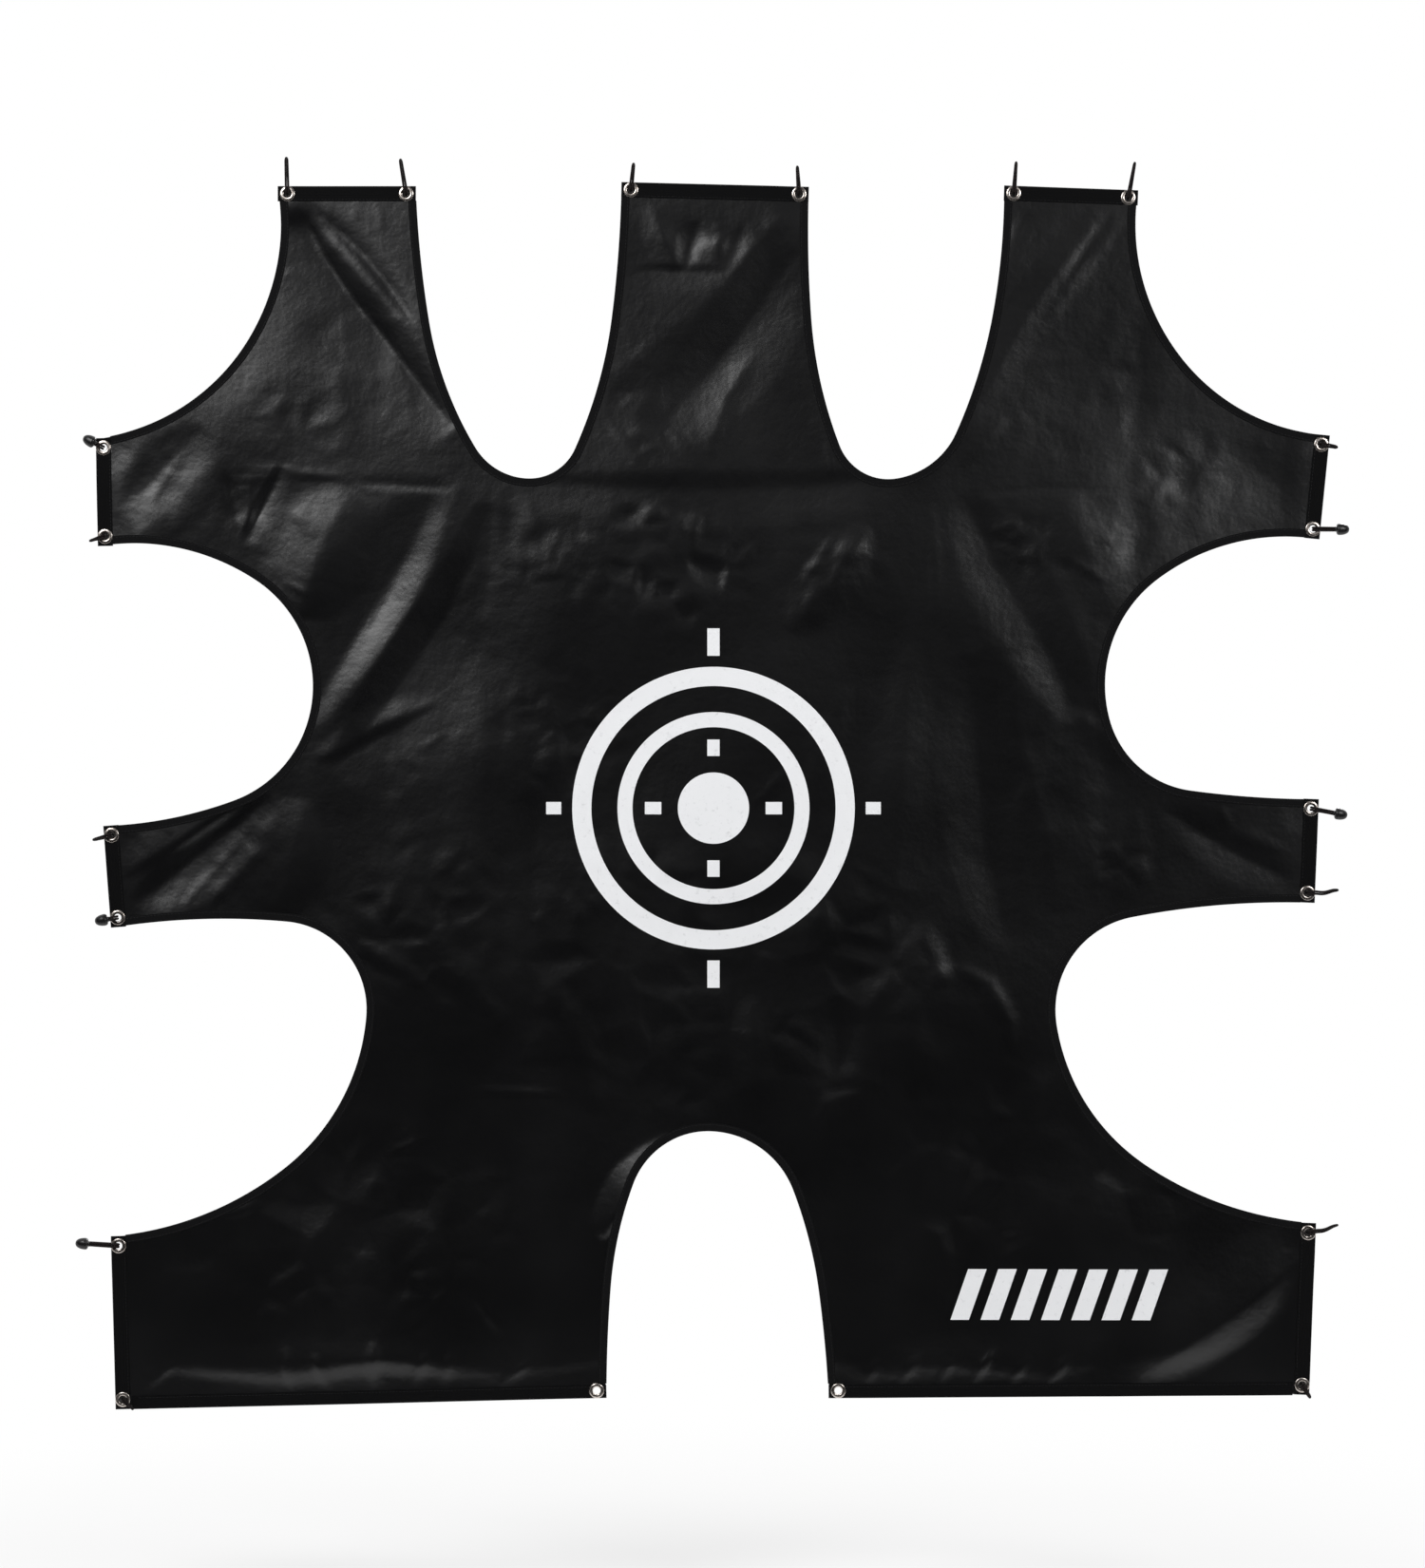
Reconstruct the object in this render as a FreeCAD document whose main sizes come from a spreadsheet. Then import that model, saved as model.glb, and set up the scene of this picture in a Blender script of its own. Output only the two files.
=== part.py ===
import FreeCAD, Part
import math
import os

import Sketcher

from FreeCAD import Placement, Rotation, Vector

# Shooting target sheet that hangs in a lacrosse goal mouth on ball bungees.
# X runs to the right, Z up, and the shooter stands on the -Y side.
# The origin is the middle of the flat sheet.

# Driving sizes in millimetres
SIZES = {
    # cut size of the coated fabric
    "sheet_width": 1800,
    "sheet_height": 1786,
    "sheet_thickness": 1.2,
    # webbing folded over the tab ends and hems, binding tape round the cut-outs
    "webbing_thickness": 1.2,
    "band_width": 22,
    "hem_width": 19,
    "binding_width": 12,
    "binding_thickness": 0.8,
    "edge_gap": 0.3,
    "seam_gap": 0.3,
    # eyelets and their washers
    "eyelet_setback": 13,
    "eyelet_inset": 9.5,
    "eyelet_bore_radius": 5.5,
    "eyelet_barrel_radius": 6.3,
    "eyelet_flange_radius": 11,
    "eyelet_lip": 1.4,
    "washer_crown": 1.1,
    "washer_gap": 0.1,
    "cloth_gap": 0.3,
    # bungee cords and their balls
    "cord_diameter": 3.3,
    "leg_spacing": 3.5,
    "hole_bend": 5,
    "running_gap": 0.3,
    "ball_gap": 0.5,
    "ball_radius": 8.5,
    "ball_length": 21,
    "ball_neck_radius": 3.8,
}

doc = FreeCAD.newDocument("target_sheet")
sheet = doc.addObject("Spreadsheet::Sheet", "Sizes")
for row, (alias, number) in enumerate(SIZES.items(), start=1):
    sheet.set(f"A{row}", str(number))
    sheet.setAlias(f"A{row}", alias)
doc.recompute()


def size(alias):
    return float(sheet.get(alias))


sheet_half = size("sheet_thickness") / 2
webbing_face = sheet_half + size("webbing_thickness")
binding_face = sheet_half + size("binding_thickness")
lip_face = webbing_face + size("eyelet_lip")
crown_face = webbing_face + size("washer_crown")


# Outline of the sheet
def left(distance):
    return distance - size("sheet_width") / 2


def right(distance):
    return size("sheet_width") / 2 - distance


def top(distance):
    return size("sheet_height") / 2 - distance


def bottom(distance):
    return distance - size("sheet_height") / 2


# Cut-outs, clockwise from the top left: points (x, z) with the heading of the edge there in degrees.
# Two arcs join each point to the next.
BAYS = {
    "top_left_corner": [(left(1), top(373), 7), (left(266), top(6), 99)],
    "top_left_slot": [(-435, top(6), -88), (-348, top(386), -59), (-201, top(388), 66), (-133, top(0), 89)],
    "top_right_slot": [(138, top(7), -92), (183, top(383), -69), (355, top(364), 66), (425, top(5), 90)],
    "top_right_corner": [(right(282), top(12), -99), (right(3), top(369), -4)],
    "right_upper_pocket": [(right(18), top(518), 171), (right(323), 109, 286), (right(19), -6, 360)],
    "right_lower_pocket": [(right(25), -155, 178), (right(401), -334, 279), (right(23), bottom(269), 356)],
    "bottom_arch": [
        (169, bottom(16.6), 93), (117, bottom(319), 111), (-118, bottom(328), 250), (-157, bottom(17), 270),
    ],
    "left_lower_pocket": [(left(23), bottom(250), 5), (left(395), -322, 85), (left(23), -191, 189)],
    "left_upper_pocket": [(left(12), -45, 2), (left(313), 121, 78), (left(4), top(528), 189)],
}
BOTTOM_RIGHT = (right(33), bottom(21))
BOTTOM_LEFT = (left(30), bottom(0))


def bay_start(name):
    return BAYS[name][0][:2]


def bay_end(name):
    return BAYS[name][-1][:2]


# Straight edges between the cut-outs, with the tape that covers each
BANDS = {
    "top_left_band": (bay_end("top_left_corner"), bay_start("top_left_slot")),
    "top_center_band": (bay_end("top_left_slot"), bay_start("top_right_slot")),
    "top_right_band": (bay_end("top_right_slot"), bay_start("top_right_corner")),
    "right_upper_band": (bay_end("top_right_corner"), bay_start("right_upper_pocket")),
    "right_middle_band": (bay_end("right_upper_pocket"), bay_start("right_lower_pocket")),
    "right_lower_band": (bay_end("right_lower_pocket"), BOTTOM_RIGHT),
    "left_lower_band": (BOTTOM_LEFT, bay_start("left_lower_pocket")),
    "left_middle_band": (bay_end("left_lower_pocket"), bay_start("left_upper_pocket")),
    "left_upper_band": (bay_end("left_upper_pocket"), bay_start("top_left_corner")),
}
HEMS = {
    "right_bottom_hem": (BOTTOM_RIGHT, bay_start("bottom_arch")),
    "left_bottom_hem": (bay_end("bottom_arch"), BOTTOM_LEFT),
}
STRAIGHTS = {**BANDS, **HEMS}


def point(x, z, y=0.0):
    return Vector(x, y, z)


def heading_vector(degrees):
    return Vector(math.cos(math.radians(degrees)), 0, math.sin(math.radians(degrees)))


def leftward(direction):
    return Vector(-direction.z, 0, direction.x)


class EdgeArc:
    # An arc of the outline that leaves start along direction and ends at end, turning left
    def __init__(self, start, direction, end):
        chord = end - start
        normal = leftward(direction)
        self.start = start
        self.end = end
        self.radius = chord.dot(chord) / (2 * chord.dot(normal))
        self.center = start + normal * self.radius
        self.end_direction = leftward(end - self.center).normalize()

    # The same arc moved into the sheet by inward, as an edge
    def edge(self, inward=0.0, backward=False):
        middle = (self.start + self.end) * 0.5
        ends = [self.start, middle, self.end]
        spokes = [(place - self.center).normalize() for place in ends]
        points = [self.center + spoke * (self.radius + inward) for spoke in spokes]
        if backward:
            points.reverse()
        return Part.Arc(*points).toShape()


def arc_pair(start, start_direction, end, end_direction):
    # Two arcs that meet smoothly and turn the edge from one heading to the other
    chord = end - start
    total = start_direction + end_direction
    slack = 2 * (1 - start_direction.dot(end_direction))
    along = chord.dot(total)
    reach = (math.sqrt(along * along + slack * chord.dot(chord)) - along) / slack
    joint = (start + start_direction * reach + end - end_direction * reach) * 0.5
    first = EdgeArc(start, start_direction, joint)
    return [first, EdgeArc(joint, first.end_direction, end)]


def bay_arcs(name):
    arcs = []
    nodes = BAYS[name]
    for (x0, z0, heading0), (x1, z1, heading1) in zip(nodes, nodes[1:]):
        arcs += arc_pair(point(x0, z0), heading_vector(heading0), point(x1, z1), heading_vector(heading1))
    return arcs


def line(start, end):
    return Part.LineSegment(start, end).toShape()


def outline_face():
    edges = []
    names = list(BAYS)
    for name, following in zip(names, names[1:] + names[:1]):
        edges += [arc.edge() for arc in bay_arcs(name)]
        corners = [bay_end(name), bay_start(following)]
        if following == "bottom_arch":
            corners.insert(1, BOTTOM_RIGHT)
        if name == "bottom_arch":
            corners.insert(1, BOTTOM_LEFT)
        for start, end in zip(corners, corners[1:]):
            edges.append(line(point(*start), point(*end)))
    return Part.Face(Part.Wire(edges))


# Frame of a straight edge: local X along the edge, local Z out of the sheet, origin at its first end
def straight_length(name):
    (x0, z0), (x1, z1) = STRAIGHTS[name]
    return math.hypot(x1 - x0, z1 - z0)


def straight_placement(name):
    (x0, z0), (x1, z1) = STRAIGHTS[name]
    slope = math.degrees(math.atan2(z1 - z0, x1 - x0))
    return Placement(point(x0, z0), Rotation(Vector(0, -1, 0), slope))


# Eyelets: one near each end of every band, and one at the arch end of each hem
def eyelet_stations(name):
    near = size("eyelet_setback")
    far = straight_length(name) - near
    if name == "right_bottom_hem":
        return [far]
    if name == "left_bottom_hem":
        return [near]
    return [near, far]


def eyelet_centers(name):
    place = straight_placement(name)
    inset = size("eyelet_inset")
    return [place.multVec(Vector(station, 0, -inset)) for station in eyelet_stations(name)]


EYELETS = [center for name in STRAIGHTS for center in eyelet_centers(name)]
FILLED = [name in BANDS for name in STRAIGHTS for center in eyelet_centers(name)]


def bind(thing, **expressions):
    # Ties properties to the sheet: a word in braces is one of its aliases
    for name, expression in expressions.items():
        path = "Placement.Base." + name[-1] if name.startswith("at_") else name
        thing.setExpression(path, expression.replace("{", "Sizes.").replace("}", ""))
    return thing


def punch(label, place):
    # Eight-sided hole for an eyelet barrel, through everything
    prism = doc.addObject("Part::Prism", label)
    prism.Polygon = 8
    bind(prism, Circumradius="({eyelet_barrel_radius} + {cloth_gap}) / cos(22.5 deg)")
    bind(prism, Height="2 * ({sheet_thickness} + 2 * {webbing_thickness})")
    turned = Rotation(Vector(1, 0, 0), -90)
    start = Vector(0, -2 * webbing_face, 0)
    prism.Placement = Placement(place + start, turned)
    return prism


# Folds that the hung sheet holds: which way the crest stands, its two ends, the fold's width and height
FRONT = -1
BACK = 1
FOLDS = {
    "top_left_groove": (BACK, (left(312), top(60)), (-416, top(300)), 34, 9),
    "top_left_second_groove": (BACK, (left(352), top(62)), (-484, top(143)), 22, 5),
    "upper_left_great_fold": (FRONT, (-360, 436), (-557, 100), 80, 18),
    "left_upper_tab_fold": (FRONT, (left(172), 500), (left(52), 424), 56, 10),
    "left_upper_crease": (FRONT, (left(277), 484), (left(217), 372), 26, 6),
    "left_middle_tab_groove": (BACK, (left(60), -102), (left(180), -36), 24, 7),
    "left_middle_fan": (FRONT, (left(285), -36), (left(100), -146), 40, 10),
    "top_center_diagonal": (BACK, (88, top(58)), (-82, top(352)), 44, 10),
    "top_right_tab_fold": (FRONT, (right(330), top(58)), (434, top(262)), 36, 10),
    "right_slot_fold": (FRONT, (339, 430), (429, 214), 42, 12),
    "right_slot_groove": (BACK, (411, 380), (540, 190), 34, 10),
    "right_middle_tab_groove": (BACK, (right(206), -60), (right(64), -100), 34, 8),
    "lower_right_fold": (FRONT, (right(70), bottom(210)), (right(280), bottom(60)), 60, 13),
    "center_crease": (FRONT, (248, -64), (278, -404), 34, 7),
}
# Where along a fold its sections lie, and how large each is against the largest
FOLD_STATIONS = ((0, 0.03), (0.2, 0.72), (0.48, 1), (0.8, 0.66), (1, 0.03))
FOLD_FLATS = 6


def fold_section(middle, across, side, half_width, height):
    # An arc of under a half circle in flats, closed by its base on the sheet's middle plane
    radius = (half_width ** 2 + height ** 2) / (2 * height)
    reach = 2 * math.atan2(height, half_width)
    corners = []
    for index in range(FOLD_FLATS + 1):
        angle = reach * (2 * index / FOLD_FLATS - 1)
        rise = radius * math.cos(angle) - radius + height
        corners.append(middle + across * (radius * math.sin(angle)) + Vector(0, side * rise, 0))
    return corners


def fold_loft(side, start, end, width, height):
    axis = point(*end) - point(*start)
    across = leftward(axis).normalize()
    sections = []
    for fraction, share in FOLD_STATIONS:
        middle = point(*start) + axis * fraction
        sections.append(fold_section(middle, across, side, width / 2 * share, height * share))
    return skin(sections)


def skin(rings, closed=False):
    # A solid with a flat face between each pair of neighbouring corners of each pair of neighbouring rings
    pairs = list(zip(rings, rings[1:]))
    if closed:
        pairs.append((rings[-1], rings[0]))
    polygons = [] if closed else [rings[0], rings[-1]]
    for first, second in pairs:
        for index in range(len(first)):
            after = (index + 1) % len(first)
            polygons.append([first[index], first[after], second[after], second[index]])
    faces = [Part.Face(Part.makePolygon(corners + corners[:1])) for corners in polygons]
    solid = Part.Solid(Part.Shell(faces))
    if solid.Volume < 0:
        solid.reverse()
    return solid


def feature(label, shape):
    thing = doc.addObject("Part::Feature", label)
    thing.Label = label
    thing.Shape = shape
    return thing


nodes = {}


def node(label, thing):
    thing.Label = label
    nodes[label] = thing
    return thing


# Target sheet: the cut fabric with its folds raised and hollowed, and its eyelet holes
def make_target_sheet():
    face = feature("sheet_outline", outline_face())
    plate = doc.addObject("Part::Extrusion", "sheet_plate")
    plate.Base = face
    plate.DirMode = "Custom"
    plate.Dir = Vector(0, 1, 0)
    plate.Solid = True
    bind(plate, LengthFwd="{sheet_thickness} / 2", LengthRev="{sheet_thickness} / 2")
    crests = []
    hollows = []
    for name, fold in FOLDS.items():
        loft = fold_loft(*fold)
        crests.append(feature(name, loft))
        hollow = feature(name + "_hollow", loft)
        hollow.Placement = Placement(Vector(0, -fold[0] * size("sheet_thickness"), 0), Rotation())
        hollows.append(hollow)
    raised = doc.addObject("Part::MultiFuse", "raised_sheet")
    raised.Shapes = [plate] + crests
    holes = [punch(f"sheet_hole_{number}", center) for number, center in enumerate(EYELETS, start=1)]
    cut_away = doc.addObject("Part::MultiFuse", "sheet_cuts")
    cut_away.Shapes = hollows + holes
    cloth = doc.addObject("Part::Cut", "target_sheet")
    cloth.Base = raised
    cloth.Tool = cut_away
    node("target_sheet", cloth)


# Webbing folded over a straight edge: a box with a slot for the sheet and holes for the eyelets
def make_band(name, width):
    length = straight_length(name)
    overhang = size("edge_gap") + size("binding_thickness")
    body = doc.addObject("Part::Box", name + "_body")
    body.Length = length + 2 * overhang
    bind(body, Width="{sheet_thickness} + 2 * {webbing_thickness}", Height="{%s}" % width)
    bind(body, at_x="-({edge_gap} + {binding_thickness})")
    bind(body, at_y="-{sheet_thickness} / 2 - {webbing_thickness}")
    bind(body, at_z="{edge_gap} + {webbing_thickness} - {%s}" % width)
    slot = doc.addObject("Part::Box", name + "_slot")
    slot.Length = length + 4 * overhang
    bind(slot, Width="{sheet_thickness}", Height="{%s}" % width)
    bind(slot, at_x="-2 * ({edge_gap} + {binding_thickness})", at_y="-{sheet_thickness} / 2")
    bind(slot, at_z="{edge_gap} - {%s}" % width)
    tools = [slot]
    for number, station in enumerate(eyelet_stations(name), start=1):
        tools.append(punch(f"{name}_hole_{number}", Vector(station, 0, -size("eyelet_inset"))))
    return body, tools


def cut(label, base, tools):
    joined = doc.addObject("Part::MultiFuse", label + "_cuts")
    joined.Shapes = tools
    result = doc.addObject("Part::Cut", label)
    result.Base = base
    result.Tool = joined
    return result


def make_bands():
    for name in BANDS:
        body, tools = make_band(name, "band_width")
        node(name, cut(name, body, tools)).Placement = straight_placement(name)


# Hems along the bottom edge, which stop at the lower bands
def make_hems():
    for name, band in (("right_bottom_hem", "right_lower_band"), ("left_bottom_hem", "left_lower_band")):
        body, tools = make_band(name, "hem_width")
        into_hem = straight_placement(name).inverse()
        clear = feature(f"{name}_end", band_envelope(band))
        clear.Placement = into_hem
        node(name, cut(name, body, tools + [clear])).Placement = straight_placement(name)


def band_envelope(name):
    # The room that a band takes on the sheet, with the seam gap round it and open past its ends
    beyond = 2 * size("band_width")
    depth = size("band_width") - size("edge_gap") - size("webbing_thickness") + size("seam_gap")
    width = straight_length(name) + 2 * beyond
    corner = Vector(-beyond, -beyond, -depth)
    box = Part.makeBox(width, 2 * beyond, depth + beyond, corner)
    return box.transformGeometry(straight_placement(name).toMatrix())


# Edge bindings: narrow tape folded over each cut-out's edge, stopping at the webbing
def strip(arcs, outer, inner, half_thickness):
    # A flat strip along the arcs, from outer, past the edge, to inner, inside the sheet
    forward = [arc.edge(outer) for arc in arcs]
    backward = [arc.edge(inner, backward=True) for arc in reversed(arcs)]
    first = line(backward[-1].lastVertex().Point, forward[0].firstVertex().Point)
    last = line(forward[-1].lastVertex().Point, backward[0].firstVertex().Point)
    face = Part.Face(Part.Wire(forward + [last] + backward + [first]))
    face.translate(Vector(0, -half_thickness, 0))
    return face.extrude(Vector(0, 2 * half_thickness, 0))


def band_neighbours(bay):
    names = list(STRAIGHTS)
    ends = (bay_start(bay), bay_end(bay))
    return [name for name in names if STRAIGHTS[name][1] == ends[0] or STRAIGHTS[name][0] == ends[1]]


def binding(bay):
    arcs = bay_arcs(bay)
    gap = size("edge_gap")
    inward = size("binding_width") - gap - size("binding_thickness")
    tape = strip(arcs, -gap - size("binding_thickness"), inward, binding_face)
    slot = strip(arcs, -gap, inward + 1, sheet_half)
    folded = tape.cut(slot)
    for name in band_neighbours(bay):
        folded = folded.cut(band_envelope(name))
    return folded


def make_bindings():
    pieces = [solid for bay in BAYS for solid in binding(bay).Solids]
    node("edge_bindings", feature("edge_bindings", Part.makeCompound(pieces)))


# Eyelets and washers: one turned master each, copied to every hole
def turned_body(label, corners):
    # A closed profile turned about Y, each corner (radius, height) held by two named dimensions
    body = doc.addObject("PartDesign::Body", label)
    sketch = body.newObject("Sketcher::SketchObject", label + "_profile")
    plane = [item for item in body.Origin.OriginFeatures if item.Role == "XY_Plane"][0]
    sketch.AttachmentSupport = [(plane, "")]
    sketch.MapMode = "FlatFace"
    rough = [Vector(sheet_value(radius), sheet_value(height), 0) for radius, height in corners]
    count = len(corners)
    for index in range(count):
        sketch.addGeometry(Part.LineSegment(rough[index], rough[(index + 1) % count]), False)
    for index in range(count):
        sketch.addConstraint(Sketcher.Constraint("Coincident", index, 2, (index + 1) % count, 1))
    for index, (radius, height) in enumerate(corners):
        for kind, text in (("DistanceX", radius), ("DistanceY", height)):
            number = sketch.addConstraint(Sketcher.Constraint(kind, -1, 1, index, 1, sheet_value(text)))
            name = f"corner_{index}_{kind[-1].lower()}"
            sketch.renameConstraint(number, name)
            bind(sketch, **{"Constraints." + name: text})
    turned = body.newObject("PartDesign::Revolution", label + "_turned")
    turned.Profile = sketch
    turned.ReferenceAxis = (sketch, ["V_Axis"])
    turned.Angle = 360
    return body


def sheet_value(text):
    # The number that a sum of aliases, each with its factor, stands for
    total = 0.0
    for term in text.split("+"):
        product = 1.0
        for factor in term.split("*"):
            factor = factor.strip()
            product *= size(factor[1:-1]) if factor.startswith("{") else float(factor)
        total += product
    return total


def ring_about_y(radius, height, sides):
    angles = [2 * math.pi * (index + 0.5) / sides for index in range(sides)]
    return [Vector(radius * math.cos(angle), height, radius * math.sin(angle)) for angle in angles]


def faceted(corners, sides):
    # The same closed profile as many-sided flats about Y
    rings = [ring_about_y(sheet_value(radius), sheet_value(height), sides) for radius, height in corners]
    return skin(rings, closed=True)


def copies(label, shapes, depth):
    # One solid per eyelet, moved from zero height to the given depth
    pieces = []
    for center, shape in zip(EYELETS, shapes):
        piece = shape.copy()
        piece.translate(center + Vector(0, depth, 0))
        pieces.append(piece)
    node(label, feature(label, Part.makeCompound(pieces)))


# The two free eyelets at the arch are fully round; those that a bungee fills, and the washers, have flats
EYELET_SIDES = 10


def make_eyelets():
    clamped = "{eyelet_lip} + {sheet_thickness} + 2 * {webbing_thickness}"
    profile = [
        ("{eyelet_bore_radius}", "0"),
        ("{eyelet_flange_radius}", "{eyelet_lip}"),
        ("{eyelet_barrel_radius}", "{eyelet_lip}"),
        ("{eyelet_barrel_radius}", clamped + " + {washer_crown}"),
        ("{eyelet_bore_radius}", clamped + " + {washer_crown}"),
    ]
    round_eyelet = turned_body("round_eyelet", profile)
    doc.recompute()
    flat_eyelet = faceted(profile, EYELET_SIDES)
    shapes = [flat_eyelet if filled else round_eyelet.Shape for filled in FILLED]
    copies("eyelets", shapes, -lip_face)
    across_corners = 1 / math.cos(math.pi / EYELET_SIDES)
    washer_bore = f"{across_corners} * {{eyelet_barrel_radius}} + {{washer_gap}}"
    washer = faceted([
        (washer_bore, "0"),
        ("{eyelet_flange_radius}", "0"),
        (washer_bore, "{washer_crown}"),
    ], EYELET_SIDES)
    copies("eyelet_washers", [washer] * len(EYELETS), webbing_face)


# Ball bungees: tab, end, how it hangs, heading of the loop in degrees from +X, and its reach.
# A "loop" reaches out past the edge with its ball behind the eyelet.
# A "ball" lies in front, past the edge, and "high_ball" stands clear of the webbing under it.
BUNGEES = [
    ("top_left", "left", "loop", 91, 53),
    ("top_left", "right", "loop", 99, 51),
    ("top_center", "left", "loop", 84, 39),
    ("top_center", "right", "loop", 94, 41),
    ("top_right", "left", "loop", 86, 46),
    ("top_right", "right", "loop", 80, 52),
    ("right_upper", "upper", "loop", -12, 24),
    ("right_upper", "lower", "ball", -1, 42),
    ("right_middle", "upper", "ball", -11, 43),
    ("right_middle", "lower", "bowed_loop", 6, 45),
    ("right_lower", "upper", "bowed_loop", 16, 45),
    ("right_lower", "lower", "loop", -58, 22),
    ("left_lower", "lower", "loop", -40, 22),
    ("left_lower", "upper", "ball", 176, 52),
    ("left_middle", "lower", "high_ball", -170, 22),
    ("left_middle", "upper", "loop", -165, 28),
    ("left_upper", "lower", "loop", -161, 24),
    ("left_upper", "upper", "high_ball", 153, 21),
]
# Bight where a loop turns back: (short of the tip, away from the sheet, share of the legs' spread)
BIGHT = ((2.2, 0, -0.6), (0, 2.8, -0.25), (0.8, 6.2, 0.25), (4, 7.8, 0.6))
BOW = 3


def bight(tip, depth, side):
    # Its route points from one leg to the other, rising from depth to the given side
    leg = size("leg_spacing") / 2
    return [(tip - short, share * leg, depth + side * rise) for short, rise, share in BIGHT]


def loop_route(reach, bow=0.0):
    # Route as (out, across, depth): from the ball out through the eyelet, round the bight and back
    leg = size("leg_spacing") / 2
    tip = reach - size("cord_diameter") / 2
    front = -low_ball_depth()
    ball_face = crown_face + size("ball_gap")
    turn = bight(tip, front, FRONT)
    if bow:
        turn.insert(0, (tip / 2, -leg - bow, front))
        turn.append((tip / 2, leg - bow, (front + turn[-1][2]) / 2))
    return [(0, -leg, ball_face), (0, -leg, front)] + turn + [(0, leg, front), (0, leg, ball_face)]


def ball_route(reach, depth):
    # From the ball's neck in front, in through the eyelet and out behind, round the bight and back
    leg = size("leg_spacing") / 2
    behind = ball_clear_depth()
    neck = reach - size("ball_length") / 2
    tip = reach + size("ball_length") / 2 - size("cord_diameter")
    near = [(neck, -leg, depth), (0, -leg, depth), (0, -leg, behind)]
    far = [(out, -across, y) for out, across, y in reversed(near)]
    return near + bight(tip, behind, BACK) + far


def ball_clear_depth():
    # Depth behind the sheet at which the cord passes the ball and the washer
    radius = size("cord_diameter") / 2
    past_ball = size("ball_radius") + size("ball_gap") + radius - low_ball_depth()
    return max(past_ball, crown_face + size("ball_gap") + radius)


def low_ball_depth():
    return lip_face + size("running_gap") + size("cord_diameter") / 2


def high_ball_depth():
    return webbing_face + size("running_gap") + size("ball_radius")


# A cord is straight runs joined by tangent arcs, swept as a six-sided tube
CORD_SIDES = 6
ARC_STEP = 55


class Bend:
    # The arc that rounds one corner of a route
    def __init__(self, before, corner, after, limit):
        back = before - corner
        on = after - corner
        shorter = min(back.Length, on.Length)
        back.normalize()
        on.normalize()
        self.turn = math.pi - back.getAngle(on)
        half_turn = math.tan(self.turn / 2)
        self.radius = min(limit, 0.45 * shorter / half_turn)
        self.start = corner + back * (self.radius * half_turn)
        self.end = corner + on * (self.radius * half_turn)
        self.axis = (-back).cross(on).normalize()
        self.center = corner + (back + on).normalize() * (self.radius / math.cos(self.turn / 2))

    def at(self, fraction):
        spoke = Rotation(self.axis, math.degrees(self.turn * fraction)).multVec(self.start - self.center)
        return self.center + spoke


def route_bends(points):
    return [Bend(*corner, size("hole_bend")) if sharp(*corner) else Bend(*corner, math.inf)
            for corner in zip(points, points[1:], points[2:])]


def sharp(before, corner, after):
    return (before - corner).getAngle(after - corner) < math.radians(120)


def path_wire(points, bends):
    edges = []
    place = points[0]
    for bend in bends:
        edges.append(line(place, bend.start))
        edges.append(Part.Arc(bend.start, bend.at(0.5), bend.end).toShape())
        place = bend.end
    edges.append(line(place, points[-1]))
    return Part.Wire(edges)


def cord_tube(points, side):
    # Rings along the path, each turned with it; a flat faces side, which is square to the first run
    bends = route_bends(points)
    radius = size("cord_diameter") / 2
    ring_area = CORD_SIDES / 2 * math.sin(2 * math.pi / CORD_SIDES)
    corner_radius = radius * math.sqrt(math.pi / ring_area)
    travel = (points[1] - points[0]).normalize()
    stations = [(points[0], Rotation())]
    facing = Rotation()
    for bend in bends:
        stations.append((bend.start, facing))
        steps = max(1, math.ceil(math.degrees(bend.turn) / ARC_STEP - 0.1))
        for step in range(1, steps + 1):
            turned = Rotation(bend.axis, math.degrees(bend.turn) * step / steps)
            stations.append((bend.at(step / steps), turned * facing))
        facing = stations[-1][1]
    stations.append((points[-1], facing))
    rings = []
    for place, turned in stations:
        corners = []
        for index in range(CORD_SIDES):
            spoke = Rotation(travel, 360 / CORD_SIDES * (index + 0.5)).multVec(side)
            corners.append(place + turned.multVec(spoke) * corner_radius)
        rings.append(corners)
    tube = skin(rings)
    length = path_wire(points, bends).Length
    share = tube.Volume / (math.pi * radius ** 2 * length)
    return tube, length, [bend.radius for bend in bends], share


# Ball profile along its axis from the neck: share of the length, share of the radius
BALL_STATIONS = ((0.14, 0.82), (0.34, 1), (0.7, 0.86), (1, 0.36))
BALL_SIDES = 10


def ball_shape():
    # The neck faces the origin and the ball lies along +Y
    rings = [ring_about_y(size("ball_neck_radius"), 0, BALL_SIDES)]
    for along, share in BALL_STATIONS:
        rings.append(ring_about_y(share * size("ball_radius"), along * size("ball_length"), BALL_SIDES))
    return skin(rings)


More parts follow.
